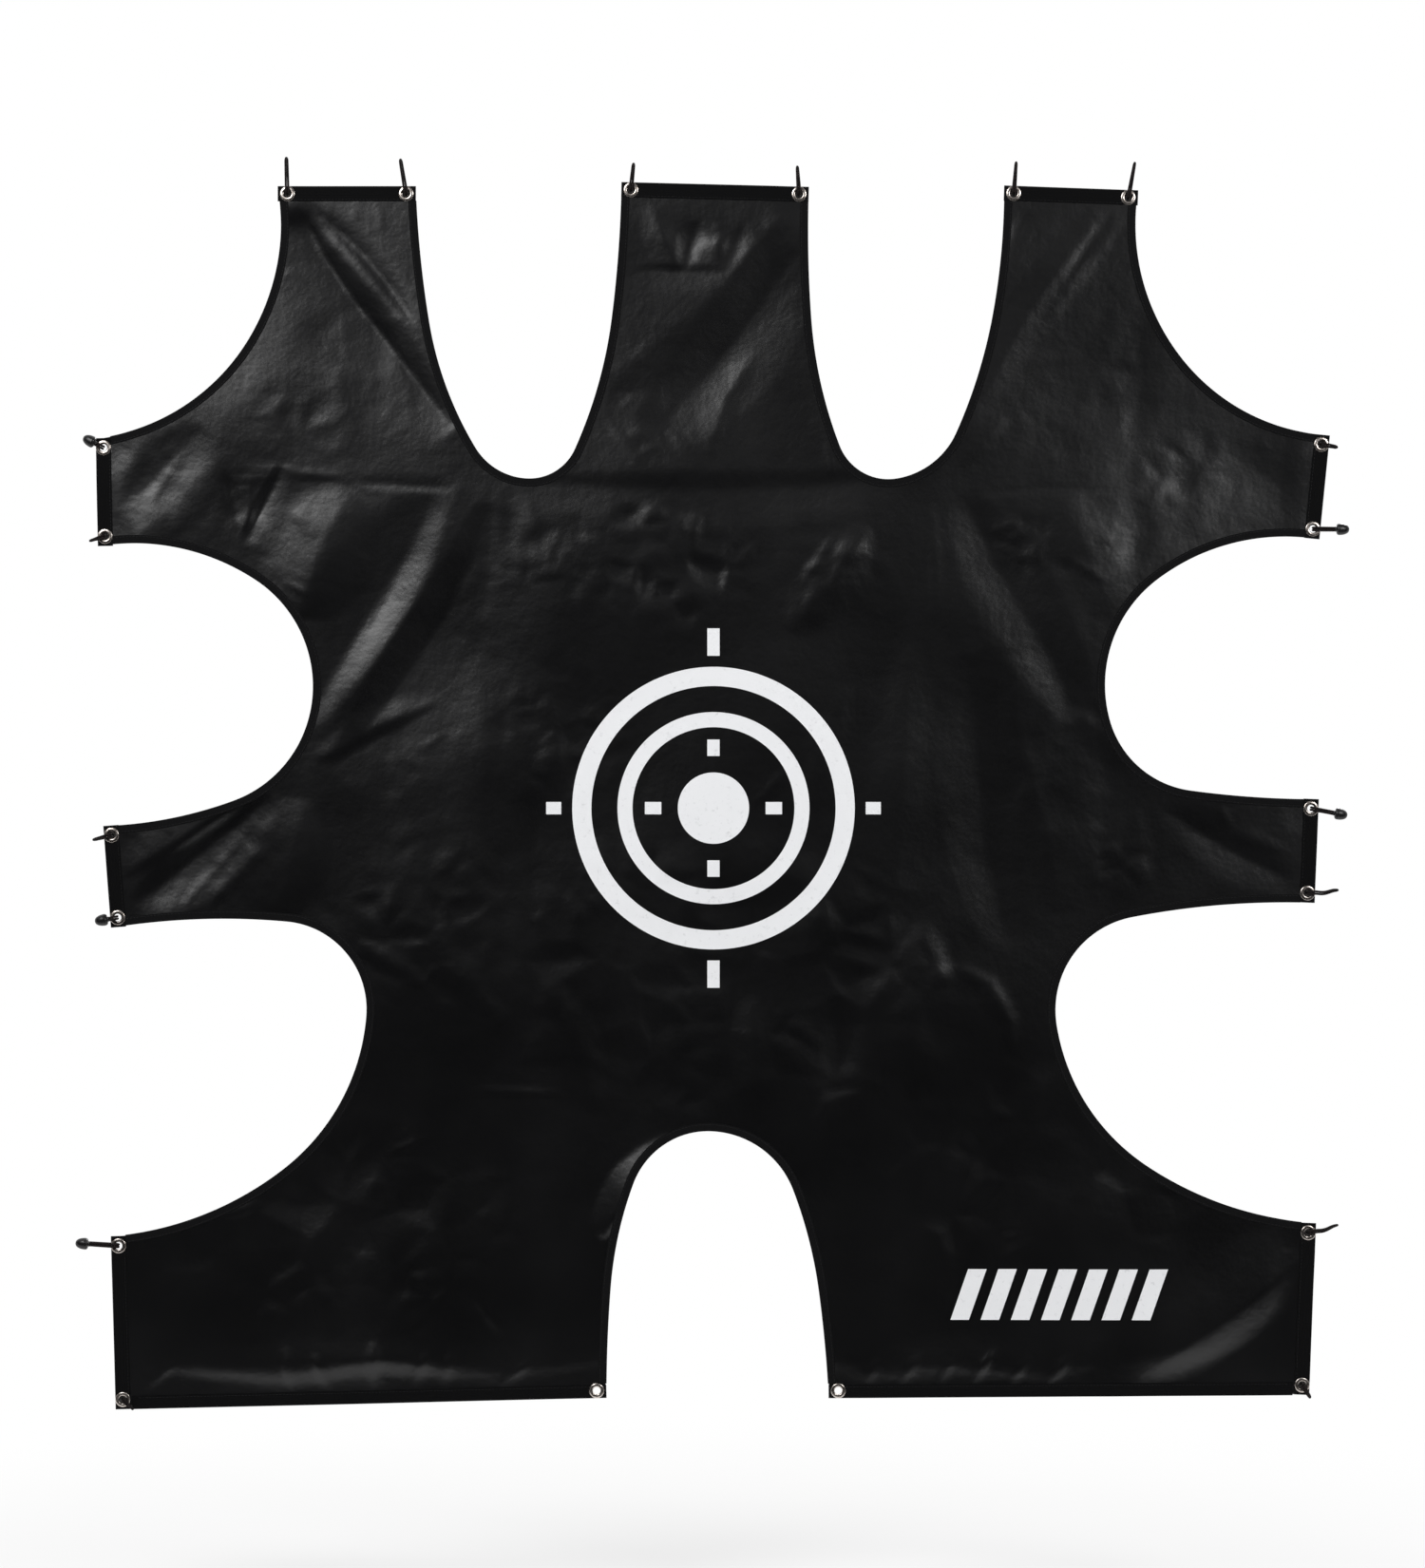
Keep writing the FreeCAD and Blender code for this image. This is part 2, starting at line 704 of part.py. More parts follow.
def make_bungees():
    print("cord, length, smallest radius, volume against section times length")
    ball = ball_shape()
    for tab, end, kind, heading, reach in BUNGEES:
        which = 0 if end in ("left", "upper") else 1
        if tab.startswith("left"):
            which = 1 - which
        center = eyelet_centers(tab + "_band")[which]
        out = heading_vector(heading)
        across = leftward(out)
        if kind == "loop":
            route = loop_route(reach)
        elif kind == "bowed_loop":
            route = loop_route(reach, BOW)
        elif kind == "ball":
            route = ball_route(reach, -low_ball_depth())
        else:
            route = ball_route(reach, -high_ball_depth())
        points = [center + out * a + across * b + Vector(0, c, 0) for a, b, c in route]
        name = f"{tab}_tab_{end}"
        tube, length, radii, share = cord_tube(points, across)
        node(name + "_cord", feature(name + "_cord", tube))
        print(f"{name}_cord, {length:.1f}, {min(radii):.2f}, {share:.3f}")
        start = (points[0] + points[-1]) * 0.5
        axis = (points[0] - points[1]).normalize()
        piece = node(name + "_ball", feature(name + "_ball", ball))
        piece.Placement = Placement(start, Rotation(Vector(0, 1, 0), axis))


def main():
    make_target_sheet()
    make_bands()
    make_hems()
    make_bindings()
    make_eyelets()
    make_bungees()
    doc.recompute()
    for thing in doc.Objects:
        if "Invalid" in thing.State or "Error" in thing.State:
            raise RuntimeError(f"{thing.Label} failed: {thing.State}")
    for label, thing in nodes.items():
        if thing.Shape.isNull() or not thing.Shape.isValid():
            raise RuntimeError(f"{label} has no valid shape")
    os.makedirs("parts", exist_ok=True)
    for label, thing in nodes.items():
        thing.Shape.exportStep(f"parts/{label}.step")
    print(f"{len(nodes)} sub-parts written")


main()
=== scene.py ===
import cmath
import math

import bmesh
import bpy
import numpy as np
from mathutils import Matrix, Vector
from mathutils.geometry import delaunay_2d_cdt


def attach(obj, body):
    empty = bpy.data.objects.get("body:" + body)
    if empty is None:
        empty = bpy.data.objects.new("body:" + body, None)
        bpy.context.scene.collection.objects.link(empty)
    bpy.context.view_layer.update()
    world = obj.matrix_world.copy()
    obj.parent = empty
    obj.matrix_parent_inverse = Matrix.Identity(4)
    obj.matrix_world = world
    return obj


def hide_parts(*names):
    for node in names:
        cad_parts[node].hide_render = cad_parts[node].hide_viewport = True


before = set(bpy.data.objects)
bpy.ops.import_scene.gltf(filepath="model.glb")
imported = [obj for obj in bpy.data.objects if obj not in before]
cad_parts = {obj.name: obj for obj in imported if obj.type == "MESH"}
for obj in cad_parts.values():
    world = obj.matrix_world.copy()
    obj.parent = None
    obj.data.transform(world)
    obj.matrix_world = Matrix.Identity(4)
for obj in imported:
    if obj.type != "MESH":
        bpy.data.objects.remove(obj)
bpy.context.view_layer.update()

# Shooting target sheet for a lacrosse goal, hung on ball bungees
# Flat shapes are worked out in millimetres as complex numbers: X is the real part and Z the imaginary part
# Depth is along Y, and the shooter stands on the -Y side

MM = 0.001
SCENE = bpy.context.scene


def linked(name, data):
    made = bpy.data.objects.new(name, data)
    SCENE.collection.objects.link(made)
    return made


# Camera: square to the sheet, framed as the photograph is
CAMERA_DISTANCE = 7.0
FRAME_HEIGHT = 2.28525
FRAME_CENTER = (-0.0014, 0.0172)

camera = linked("camera", bpy.data.cameras.new("camera"))
camera.location = (FRAME_CENTER[0], -CAMERA_DISTANCE, FRAME_CENTER[1])
camera.rotation_euler = (math.pi / 2, 0, 0)
camera.data.lens = camera.data.sensor_width * CAMERA_DISTANCE / FRAME_HEIGHT
camera.data.clip_end = 100
SCENE.camera = camera


# Nodes and colours
MIX_A, MIX_B, MIX_RESULT = 6, 7, 2


def linear(hex_color):
    # sRGB hex to a linear colour with full opacity
    values = [int(hex_color[i:i + 2], 16) / 255 for i in (1, 3, 5)]
    return [v / 12.92 if v <= 0.04045 else ((v + 0.055) / 1.055) ** 2.4 for v in values] + [1.0]


def add(tree, kind, inputs=(), ramp=(), **settings):
    # One shader node with its settings, and the positions and colours of its ramp
    # An input is a number, a colour, another node's output, or a node, which stands for its first output
    made = tree.nodes.new("ShaderNode" + kind)
    for name, value in settings.items():
        setattr(made, name, value)
    for index, (position, color) in enumerate(ramp):
        made.color_ramp.elements[index].position = position
        made.color_ramp.elements[index].color = linear(color)
    for name, value in dict(inputs).items():
        if isinstance(value, bpy.types.Node):
            value = value.outputs[0]
        if isinstance(value, bpy.types.NodeSocket):
            tree.links.new(value, made.inputs[name])
        else:
            made.inputs[name].default_value = value
    return made


def new_material(name, space="Object"):
    # The material, its empty node tree and its texture coordinates
    made = bpy.data.materials.new(name)
    made.use_nodes = True
    tree = made.node_tree
    tree.nodes.clear()
    return made, tree, add(tree, "TexCoord").outputs[space]


def finished(made, shader):
    add(made.node_tree, "OutputMaterial", {"Surface": shader})
    return made


def wave_scale(period_mm):
    # A wave texture's scale for a real spacing
    return 2 * math.pi / (20 * period_mm * MM)


def per_metre(size_mm):
    # A noise or cell texture's scale for a real grain size
    return 1 / (size_mm * MM)


# Sizes in millimetres, as in the CAD source
SHEET_WIDTH = 1800
SHEET_HEIGHT = 1786
SHEET_HALF = 0.6
WEBBING_THICKNESS = 1.2
BINDING_THICKNESS = 0.8
EDGE_GAP = 0.3
BAND_WIDTH = 22
HEM_WIDTH = 19
BINDING_WIDTH = 12
WEBBING_FACE = SHEET_HALF + WEBBING_THICKNESS
BINDING_FACE = SHEET_HALF + BINDING_THICKNESS
EYELET_SETBACK = 13
EYELET_INSET = 9.5
HOLE_RADIUS = 6.5
FLANGE_RADIUS = 11
CORD_DIAMETER = 3.3
LEG = 1.75
BALL_LENGTH = 21
LOOP_DEPTH = -5.15
HIGH_BALL_DEPTH = -10.6
BEHIND = 5.5
BALL_FACE = 3.4
# How far a folded tape reaches into the sheet from its edge
BAND_REACH = BAND_WIDTH - EDGE_GAP - WEBBING_THICKNESS
HEM_REACH = HEM_WIDTH - EDGE_GAP - WEBBING_THICKNESS
BINDING_REACH = BINDING_WIDTH - EDGE_GAP - BINDING_THICKNESS
# Sides of the flat sheet
LEFT, RIGHT = -SHEET_WIDTH / 2, SHEET_WIDTH / 2
BOTTOM, TOP = -SHEET_HEIGHT / 2, SHEET_HEIGHT / 2



# Cut-outs, clockwise from the top left: points (x, z) with the heading of the edge there in degrees
BAYS = {
    "top_left_corner": [(LEFT + 1, TOP - 373, 7), (LEFT + 266, TOP - 6, 99)],
    "top_left_slot": [(-435, TOP - 6, -88), (-348, TOP - 386, -59), (-201, TOP - 388, 66), (-133, TOP, 89)],
    "top_right_slot": [
        (138, TOP - 7, -92), (183, TOP - 383, -69), (355, TOP - 364, 66), (425, TOP - 5, 90),
    ],
    "top_right_corner": [(RIGHT - 282, TOP - 12, -99), (RIGHT - 3, TOP - 369, -4)],
    "right_upper_pocket": [(RIGHT - 18, TOP - 518, 171), (RIGHT - 323, 109, 286), (RIGHT - 19, -6, 360)],
    "right_lower_pocket": [
        (RIGHT - 25, -155, 178), (RIGHT - 401, -334, 279), (RIGHT - 23, BOTTOM + 269, 356),
    ],
    "bottom_arch": [
        (169, BOTTOM + 16.6, 93), (117, BOTTOM + 319, 111),
        (-118, BOTTOM + 328, 250), (-157, BOTTOM + 17, 270),
    ],
    "left_lower_pocket": [(LEFT + 23, BOTTOM + 250, 5), (LEFT + 395, -322, 85), (LEFT + 23, -191, 189)],
    "left_upper_pocket": [(LEFT + 12, -45, 2), (LEFT + 313, 121, 78), (LEFT + 4, TOP - 528, 189)],
}
BOTTOM_RIGHT = complex(RIGHT - 33, BOTTOM + 21)
BOTTOM_LEFT = complex(LEFT + 30, BOTTOM)


def bay_start(name):
    return complex(*BAYS[name][0][:2])


def bay_end(name):
    return complex(*BAYS[name][-1][:2])


BANDS = {
    "top_left": (bay_end("top_left_corner"), bay_start("top_left_slot")),
    "top_center": (bay_end("top_left_slot"), bay_start("top_right_slot")),
    "top_right": (bay_end("top_right_slot"), bay_start("top_right_corner")),
    "right_upper": (bay_end("top_right_corner"), bay_start("right_upper_pocket")),
    "right_middle": (bay_end("right_upper_pocket"), bay_start("right_lower_pocket")),
    "right_lower": (bay_end("right_lower_pocket"), BOTTOM_RIGHT),
    "left_lower": (BOTTOM_LEFT, bay_start("left_lower_pocket")),
    "left_middle": (bay_end("left_lower_pocket"), bay_start("left_upper_pocket")),
    "left_upper": (bay_end("left_upper_pocket"), bay_start("top_left_corner")),
}
HEMS = {
    "right_bottom": (BOTTOM_RIGHT, bay_start("bottom_arch")),
    "left_bottom": (bay_end("bottom_arch"), BOTTOM_LEFT),
}
STRAIGHTS = {**BANDS, **HEMS}


def dot(a, b):
    return (a * b.conjugate()).real


def unit(degrees):
    return cmath.exp(1j * math.radians(degrees))


def heading_to(start, end):
    return (end - start) / abs(end - start)


def arc_stations(start, heading, end, spacing):
    # Stations (place, heading) along an arc that leaves start along heading and turns left to end
    chord = end - start
    radius = abs(chord) ** 2 / (2 * dot(chord, 1j * heading))
    center = start + 1j * heading * radius
    turn = cmath.phase((end - center) / (start - center)) % (2 * math.pi)
    count = max(2, round(radius * turn / spacing))
    turns = [cmath.exp(1j * turn * k / count) for k in range(count + 1)]
    return [(center + (start - center) * step, heading * step) for step in turns]


def bay_stations(name, spacing):
    # Two tangent arcs between each pair of the bay's points
    stations = []
    nodes = BAYS[name]
    for (x0, z0, heading0), (x1, z1, heading1) in zip(nodes, nodes[1:]):
        start, end = complex(x0, z0), complex(x1, z1)
        first, last = unit(heading0), unit(heading1)
        chord = end - start
        slack = 2 * (1 - dot(first, last))
        along = dot(chord, first + last)
        reach = (math.sqrt(along * along + slack * abs(chord) ** 2) - along) / slack
        joint = (start + first * reach + end - last * reach) / 2
        before = arc_stations(start, first, joint, spacing)
        after = arc_stations(joint, before[-1][1], end, spacing)
        stations += before[:-1] + after[:-1]
    return stations + [after[-1]]


def line_stations(start, end, spacing):
    heading = heading_to(start, end)
    count = max(2, round(abs(end - start) / spacing))
    return [(start + (end - start) * k / count, heading) for k in range(count + 1)]


def eyelet_centers(name):
    # Clockwise round the sheet; a hem has one, at its end by the arch
    start, end = STRAIGHTS[name]
    heading = heading_to(start, end)
    inward = -1j * heading * EYELET_INSET
    near = start + heading * EYELET_SETBACK + inward
    far = end - heading * EYELET_SETBACK + inward
    return {"right_bottom": [far], "left_bottom": [near]}.get(name, [near, far])


EYELETS = [center for name in STRAIGHTS for center in eyelet_centers(name)]


def place(point, depth):
    # A point of the sheet's plane in metres, with its depth
    return Vector((point.real, depth, point.imag)) * MM


# Materials for the bungees
def braided_bungee_sheath():
    # Polyester braid over rubber: matt brown-black, with a reddish cast where the strands lift
    made, tree, coords = new_material("braided_bungee_sheath")
    # The strands are 0.5 mm in the real braid, and drawn at 1.1 mm to show
    strands = add(tree, "TexVoronoi", {"Vector": coords, "Scale": per_metre(1.1)})
    tint = add(tree, "ValToRGB", {"Fac": strands.outputs["Color"]},
               ramp=((0.35, "#0b0909"), (1, "#241818")))
    bump = add(tree, "Bump", {"Height": strands, "Strength": 0.6, "Distance": 0.0004}, invert=True)
    return finished(made, add(tree, "BsdfPrincipled", {
        "Base Color": tint, "Roughness": 0.8, "Specular IOR Level": 0.25, "Normal": bump,
    }))


def moulded_ball_plastic():
    # Injection-moulded polypropylene: near black with a soft gloss and faint flow marks
    made, tree, coords = new_material("moulded_ball_plastic")
    flow = add(tree, "TexNoise", {"Vector": coords, "Scale": per_metre(5), "Detail": 3.0})
    rough = add(tree, "MapRange", {"Value": flow, "To Min": 0.26, "To Max": 0.44})
    tint = add(tree, "ValToRGB", {"Fac": flow}, ramp=((0, "#0d0d0e"), (1, "#18181a")))
    bump = add(tree, "Bump", {"Height": flow, "Strength": 0.15, "Distance": 0.0005})
    return finished(made, add(tree, "BsdfPrincipled", {
        "Base Color": tint, "Roughness": rough, "Normal": bump,
    }))


# Bungees: tab, end, how it hangs, heading of the loop in degrees from +X, its reach, and the cord's length
BUNGEES = [
    ("top_left", "left", "loop", 91, 53, 121.4),
    ("top_left", "right", "loop", 99, 51, 117.4),
    ("top_center", "left", "loop", 84, 39, 93.7),
    ("top_center", "right", "loop", 94, 41, 97.7),
    ("top_right", "left", "loop", 86, 46, 107.5),
    ("top_right", "right", "loop", 80, 52, 119.4),
    ("right_upper", "upper", "loop", -12, 24, 64.8),
    ("right_upper", "lower", "ball", -1, 42, 179.7),
    ("right_middle", "upper", "ball", -11, 43, 183.6),
    ("right_middle", "lower", "bowed_loop", 6, 45, 106.1),
    ("right_lower", "upper", "bowed_loop", 16, 45, 106.1),
    ("right_lower", "lower", "loop", -58, 22, 61.0),
    ("left_lower", "lower", "loop", -40, 22, 61.0),
    ("left_lower", "upper", "ball", 176, 52, 219.4),
    ("left_middle", "lower", "high_ball", -170, 22, 111.2),
    ("left_middle", "upper", "loop", -165, 28, 72.4),
    ("left_upper", "lower", "loop", -161, 24, 64.8),
    ("left_upper", "upper", "high_ball", 153, 21, 107.5),
]


# A cord's route is a row of control points (out, across, depth), out from its eyelet along its heading
# Bight where a loop turns back: (short of the tip, away from the sheet, share of the legs' spread)
# The CAD source's four points stand between one more on each leg
BIGHT = (
    (6.2, 0, -0.65), (2.2, 0, -0.6), (0, 2.8, -0.25), (0.8, 6.2, 0.25), (4, 7.8, 0.6), (8.4, 6.8, 0.65),
)
FRONT = -1
BACK = 1
# Points beside the eyelet, and how far the leg on top has risen there and at the bow
LOOP_GUIDE = 10
LOOP_RISE = 1.4
BALL_GUIDE = 10.6
BOW = 3
BOW_RISE = 3.9


def bight(tip, depth, side):
    return [(tip - short, share * LEG, depth + side * rise) for short, rise, share in BIGHT]


def loop_route(reach, bow):
    # From the ball behind, through the eyelet, to a loop in front
    turn = bight(reach - CORD_DIAMETER / 2, LOOP_DEPTH, FRONT)
    if bow:
        turn.insert(0, (reach / 2, -LEG - bow, LOOP_DEPTH))
        turn.append((reach / 2, LEG - bow, LOOP_DEPTH - BOW_RISE))
    return [(0, -LEG, BALL_FACE), (0, -LEG, LOOP_DEPTH), (LOOP_GUIDE, -LEG, LOOP_DEPTH)] + turn + [
        (LOOP_GUIDE, LEG, LOOP_DEPTH - LOOP_RISE), (0, LEG, LOOP_DEPTH), (0, LEG, BALL_FACE)]


def ball_route(reach, depth):
    # From the ball in front, through the eyelet, to a loop behind
    neck = reach - BALL_LENGTH / 2
    near = [(neck, -LEG, depth), (0, -LEG, depth), (0, -LEG, BEHIND), (BALL_GUIDE, -LEG, BEHIND)]
    if neck > 2 * BALL_GUIDE:
        near.insert(1, (BALL_GUIDE, -LEG, depth))
    far = [(out, -across, y) for out, across, y in reversed(near)]
    return near + bight(reach + BALL_LENGTH / 2 - CORD_DIAMETER, BEHIND, BACK) + far


ROUTES = {
    "loop": (loop_route, 0), "bowed_loop": (loop_route, BOW),
    "ball": (ball_route, LOOP_DEPTH), "high_ball": (ball_route, HIGH_BALL_DEPTH),
}


def bungee_points(tab, end, kind, heading, reach):
    # The cord's control points, then the ball's neck and axis
    first = ("left", "lower" if tab.startswith("left") else "upper")
    center = eyelet_centers(tab)[0 if end in first else 1]
    out = unit(heading)
    route, setting = ROUTES[kind]
    points = [place(center + out * complex(a, b), depth) for a, b, depth in route(reach, setting)]
    return points, (points[0] + points[-1]) / 2, (points[0] - points[1]).normalized()


def nurbs_cord(name, points, material):
    curve = bpy.data.curves.new(name, "CURVE")
    curve.dimensions = "3D"
    curve.bevel_depth = CORD_DIAMETER / 2 * MM
    curve.bevel_resolution = 5
    curve.resolution_u = 10
    curve.use_fill_caps = True
    spline = curve.splines.new("NURBS")
    spline.points.add(len(points) - 1)
    for control, point in zip(spline.points, points):
        control.co = (*point, 1)
    spline.order_u = 3
    spline.use_endpoint_u = True
    curve.materials.append(material)
    return linked(name, curve)


# Meshes from rings of corners, in millimetres
MERGE_DISTANCE = 0.00001


def skin(rings, count, base=0, wrapped=False, closed=True):
    # Faces between neighbouring rings of corners; wrapped joins the last ring to the first
    faces = []
    for ring in range(rings if wrapped else rings - 1):
        here, after = base + ring * count, base + (ring + 1) % rings * count
        for k in range(count if closed else count - 1):
            following = (k + 1) % count
            faces.append((here + k, here + following, after + following, after + k))
    return faces


def capped_skin(rings, count, base):
    # The same with a face over each end
    last = base + (rings - 1) * count
    ends = [tuple(range(base, base + count)), tuple(range(last, last + count))[::-1]]
    return skin(rings, count, base) + ends


def turned(profile, sides, closed=True):
    # Corners and faces of a profile (radius, height) turned about the Y axis
    angles = np.arange(sides) * 2 * math.pi / sides
    radius, height = np.array(profile, float).T
    x = np.outer(np.cos(angles), radius)
    z = np.outer(np.sin(angles), radius)
    y = np.tile(height, (sides, 1))
    corners = np.stack([x, y, z], axis=-1).reshape(-1, 3)
    return corners, skin(sides, len(profile), wrapped=True, closed=closed)


def copies(centers, profile, sides, closed=True):
    # The turned profile at each of the centres
    shape, shape_faces = turned(profile, sides, closed)
    corners, faces = [], []
    for center in centers:
        base = len(corners)
        corners += [(x + center.real, y, z + center.imag) for x, y, z in shape]
        faces += [tuple(base + k for k in face) for face in shape_faces]
    return corners, faces


def mesh_object(name, corners, faces, materials=()):
    # Doubles are merged and the faces turned outward
    mesh = bpy.data.meshes.new(name)
    mesh.from_pydata([tuple(c) for c in np.asarray(corners) * MM], [], faces)
    shape = bmesh.new()
    shape.from_mesh(mesh)
    bmesh.ops.remove_doubles(shape, verts=shape.verts, dist=MERGE_DISTANCE)
    bmesh.ops.recalc_face_normals(shape, faces=shape.faces)
    shape.to_mesh(mesh)
    shape.free()
    mesh.shade_smooth()
    for material in materials:
        mesh.materials.append(material)
    return linked(name, mesh)


def carried(piece, body):
    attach(piece, body)
    return piece


# Ball profile (radius, distance from the neck): collar, shoulder, widest ring with its parting line, end
BALL_PROFILE = [
    (0, 0), (3.3, 0), (3.75, 0.4), (3.8, 1.6), (3.5, 2.0), (3.6, 2.3), (6.2, 2.7), (7.8, 3.8),
    (8.4, 5.4), (8.5, 6.7), (8.62, 6.9), (8.62, 7.2), (8.5, 7.4), (8.4, 9.2), (8.05, 11.8),
    (7.3, 14.6), (6.1, 17.3), (4.4, 19.4), (2.3, 20.6), (0, 21),
]
BALL_TURNS = 40

cord_material = braided_bungee_sheath()
ball_material = moulded_ball_plastic()
for tab, end, kind, heading, reach, cord_length in BUNGEES:
    body = f"{tab}_{end}_bungee"
    points, neck, axis = bungee_points(tab, end, kind, heading, reach)
    corners, faces = turned(BALL_PROFILE, BALL_TURNS, closed=False)
    turn = Vector((0, 1, 0)).rotation_difference(axis)
    corners = [turn @ Vector(c) + neck / MM for c in corners]
    ball = mesh_object(f"{tab}_{end}_bungee_ball", corners, faces, [ball_material])
    carried(ball, body)
    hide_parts(f"{tab}_tab_{end}_ball")
    cord = nurbs_cord(f"{tab}_{end}_bungee_cord", points, cord_material)
    carried(cord, body)
    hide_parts(f"{tab}_tab_{end}_cord")


